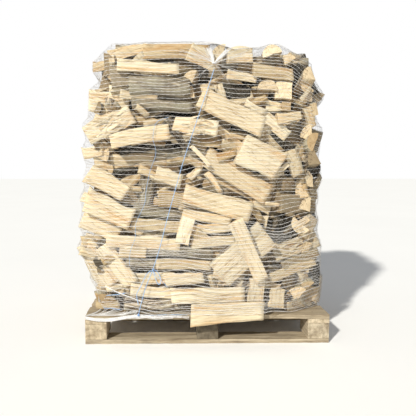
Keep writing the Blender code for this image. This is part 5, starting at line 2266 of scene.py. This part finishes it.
@dataclass(frozen=True)
class Pallet:
    """The block pallet: bottom boards, blocks, stringer boards, deck boards and their nails."""

    finishes: Finishes
    # Each kind of board: how its solids' names start, its grain's axis, and its wear
    kinds: tuple = (
        ("bottom_board", 0, 0.0016),
        ("deck_board", 0, 0.0016),
        ("stringer_board", 1, 0.0014),
        ("block", 1, 0.0014),
    )
    # The front's centre block lies in shadow, and that shade is painted on it as a darker colour
    shadowed_block: str = "block_front_centre"
    shadowed_block_brightness: float = 0.26
    nail_head: float = 0.0042
    nail_rise: float = 0.0006

    def build(self) -> list[Object]:
        """Makes each board, then the nails."""
        draw = Random(31)
        pieces = []
        for node, (start, along, wear) in itertools.product(sorted(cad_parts), self.kinds):
            if node.startswith(start):
                age = self.shadowed_block_brightness if node == self.shadowed_block else 1.0
                pieces.append(Board(node, along, wear, age).build(self.finishes, draw))
        pieces.append(self._nails(draw))
        return pieces

    def _nails(self, draw: Random) -> Object:
        """Nail heads on the deck over each block, modelled once and copied."""
        deselect()
        bpy.ops.mesh.primitive_cylinder_add(vertices=10, radius=self.nail_head, depth=0.0016)
        first = rested(bpy.context.object)
        first.data.materials.append(self.finishes.nail)
        heads = []
        decks = [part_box(node) for node in sorted(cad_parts) if node.startswith("deck_board")]
        columns = [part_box(f"block_front_{name}") for name in ("left", "centre", "right")]
        for (low, high), (left, right), (across, back) in itertools.product(
            decks, columns, ((0.28, 0.3), (0.72, 0.7))
        ):
            x = left.x + (right.x - left.x) * across + draw.uniform(-0.006, 0.006)
            y = low.y + (high.y - low.y) * back + draw.uniform(-0.006, 0.006)
            head = in_scene("nail", first.data.copy())
            set_coordinates(head.data, coordinates(head.data) + (x, y, high.z - self.nail_rise))
            heads.append(head)
        bpy.data.objects.remove(first)
        return shown_as(joined(heads, "deck_nails"), "pallet_wood")


@dataclass(frozen=True)
class Studio:
    """The floor, the light and the camera."""

    finishes: Finishes
    floor_size: float = 60.0
    lens: float = 38.5
    sensor: float = 36.0
    shift: float = 0.068
    sight: tuple = (0.05, 60.0)
    view_from: tuple = (-0.1704, -2.5169, 0.8664)
    # Degrees down from level, and to the right
    down: float = 5.29
    right: float = 0.89
    sun_energy: float = 3.72
    sun_size: float = radians(3.0)
    sun_colour: tuple = (1.0, 0.97, 0.89)
    sun_way: tuple = (0.72, 1.0, -0.86)
    sky_colour: tuple = (0.94, 0.97, 1.0, 1.0)
    sky_strength: float = 0.36
    backdrop: tuple = (1.0, 1.0, 1.0, 1.0)

    def build(self) -> None:
        """Sets the stage."""
        self._floor()
        self._sun()
        self._sky()

    def camera(self) -> None:
        """The camera at its viewing place, level across and a little down."""
        data = bpy.data.cameras.new("View")
        data.lens = self.lens
        data.sensor_width = self.sensor
        data.shift_x = self.shift
        data.clip_start, data.clip_end = self.sight
        camera = in_scene("View", data)
        camera.location = self.view_from
        camera.rotation_euler = (radians(90 - self.down), 0.0, -radians(self.right))
        bpy.context.scene.camera = camera

    def _floor(self) -> None:
        """A pale floor that runs out of sight."""
        deselect()
        bpy.ops.mesh.primitive_plane_add(size=self.floor_size)
        floor = bpy.context.object
        floor.name = "floor"
        floor.data.materials.append(self.finishes.floor)

    def _sun(self) -> None:
        """The main light, from above on the left in front."""
        data = bpy.data.lights.new("Sun", "SUN")
        data.energy = self.sun_energy
        data.angle = self.sun_size
        data.color = self.sun_colour
        sun = in_scene("Sun", data)
        sun.rotation_mode = "QUATERNION"
        sun.rotation_quaternion = Vector(self.sun_way).to_track_quat("-Z", "Y")

    def _sky(self) -> None:
        """Even soft light from all round, and a white backdrop."""
        world = bpy.data.worlds.new("Studio")
        bpy.context.scene.world = world
        world.use_nodes = True
        tree = world.node_tree
        light, backdrop = tree.nodes["Background"], tree.nodes.new("ShaderNodeBackground")
        light.inputs["Color"].default_value = self.sky_colour
        light.inputs["Strength"].default_value = self.sky_strength
        backdrop.inputs["Color"].default_value = self.backdrop
        path = tree.nodes.new("ShaderNodeLightPath")
        mixed = tree.nodes.new("ShaderNodeMixShader")
        shown = (path.outputs["Is Camera Ray"], light.outputs[0], backdrop.outputs[0])
        for source, target in zip(shown, mixed.inputs):
            tree.links.new(source, target)
        tree.links.new(mixed.outputs[0], tree.nodes["World Output"].inputs["Surface"])
        bpy.context.scene.view_settings.view_transform = "Standard"


def main() -> None:
    """Builds the scene in order, and logs each piece."""
    logging.basicConfig(level=logging.INFO, format="%(message)s")
    finishes = Finishes()
    layout = Layout()
    surface = NetSurface(layout.edge_points())
    twine = Twine(surface, finishes)
    pieces = [twine.tail()]
    studio = Studio(finishes)
    studio.camera()
    pieces += Pallet(finishes).build()
    pieces += Firewood(layout, finishes).build()
    pieces += KnittedNet(surface, finishes).build()
    pieces += NetGather(surface, finishes).build()
    pieces += twine.build()
    studio.build()
    for piece in pieces:
        LOGGER.info("%s: %d faces", piece.name, len(piece.data.polygons))
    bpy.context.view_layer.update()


if __name__ == "__main__":
    main()
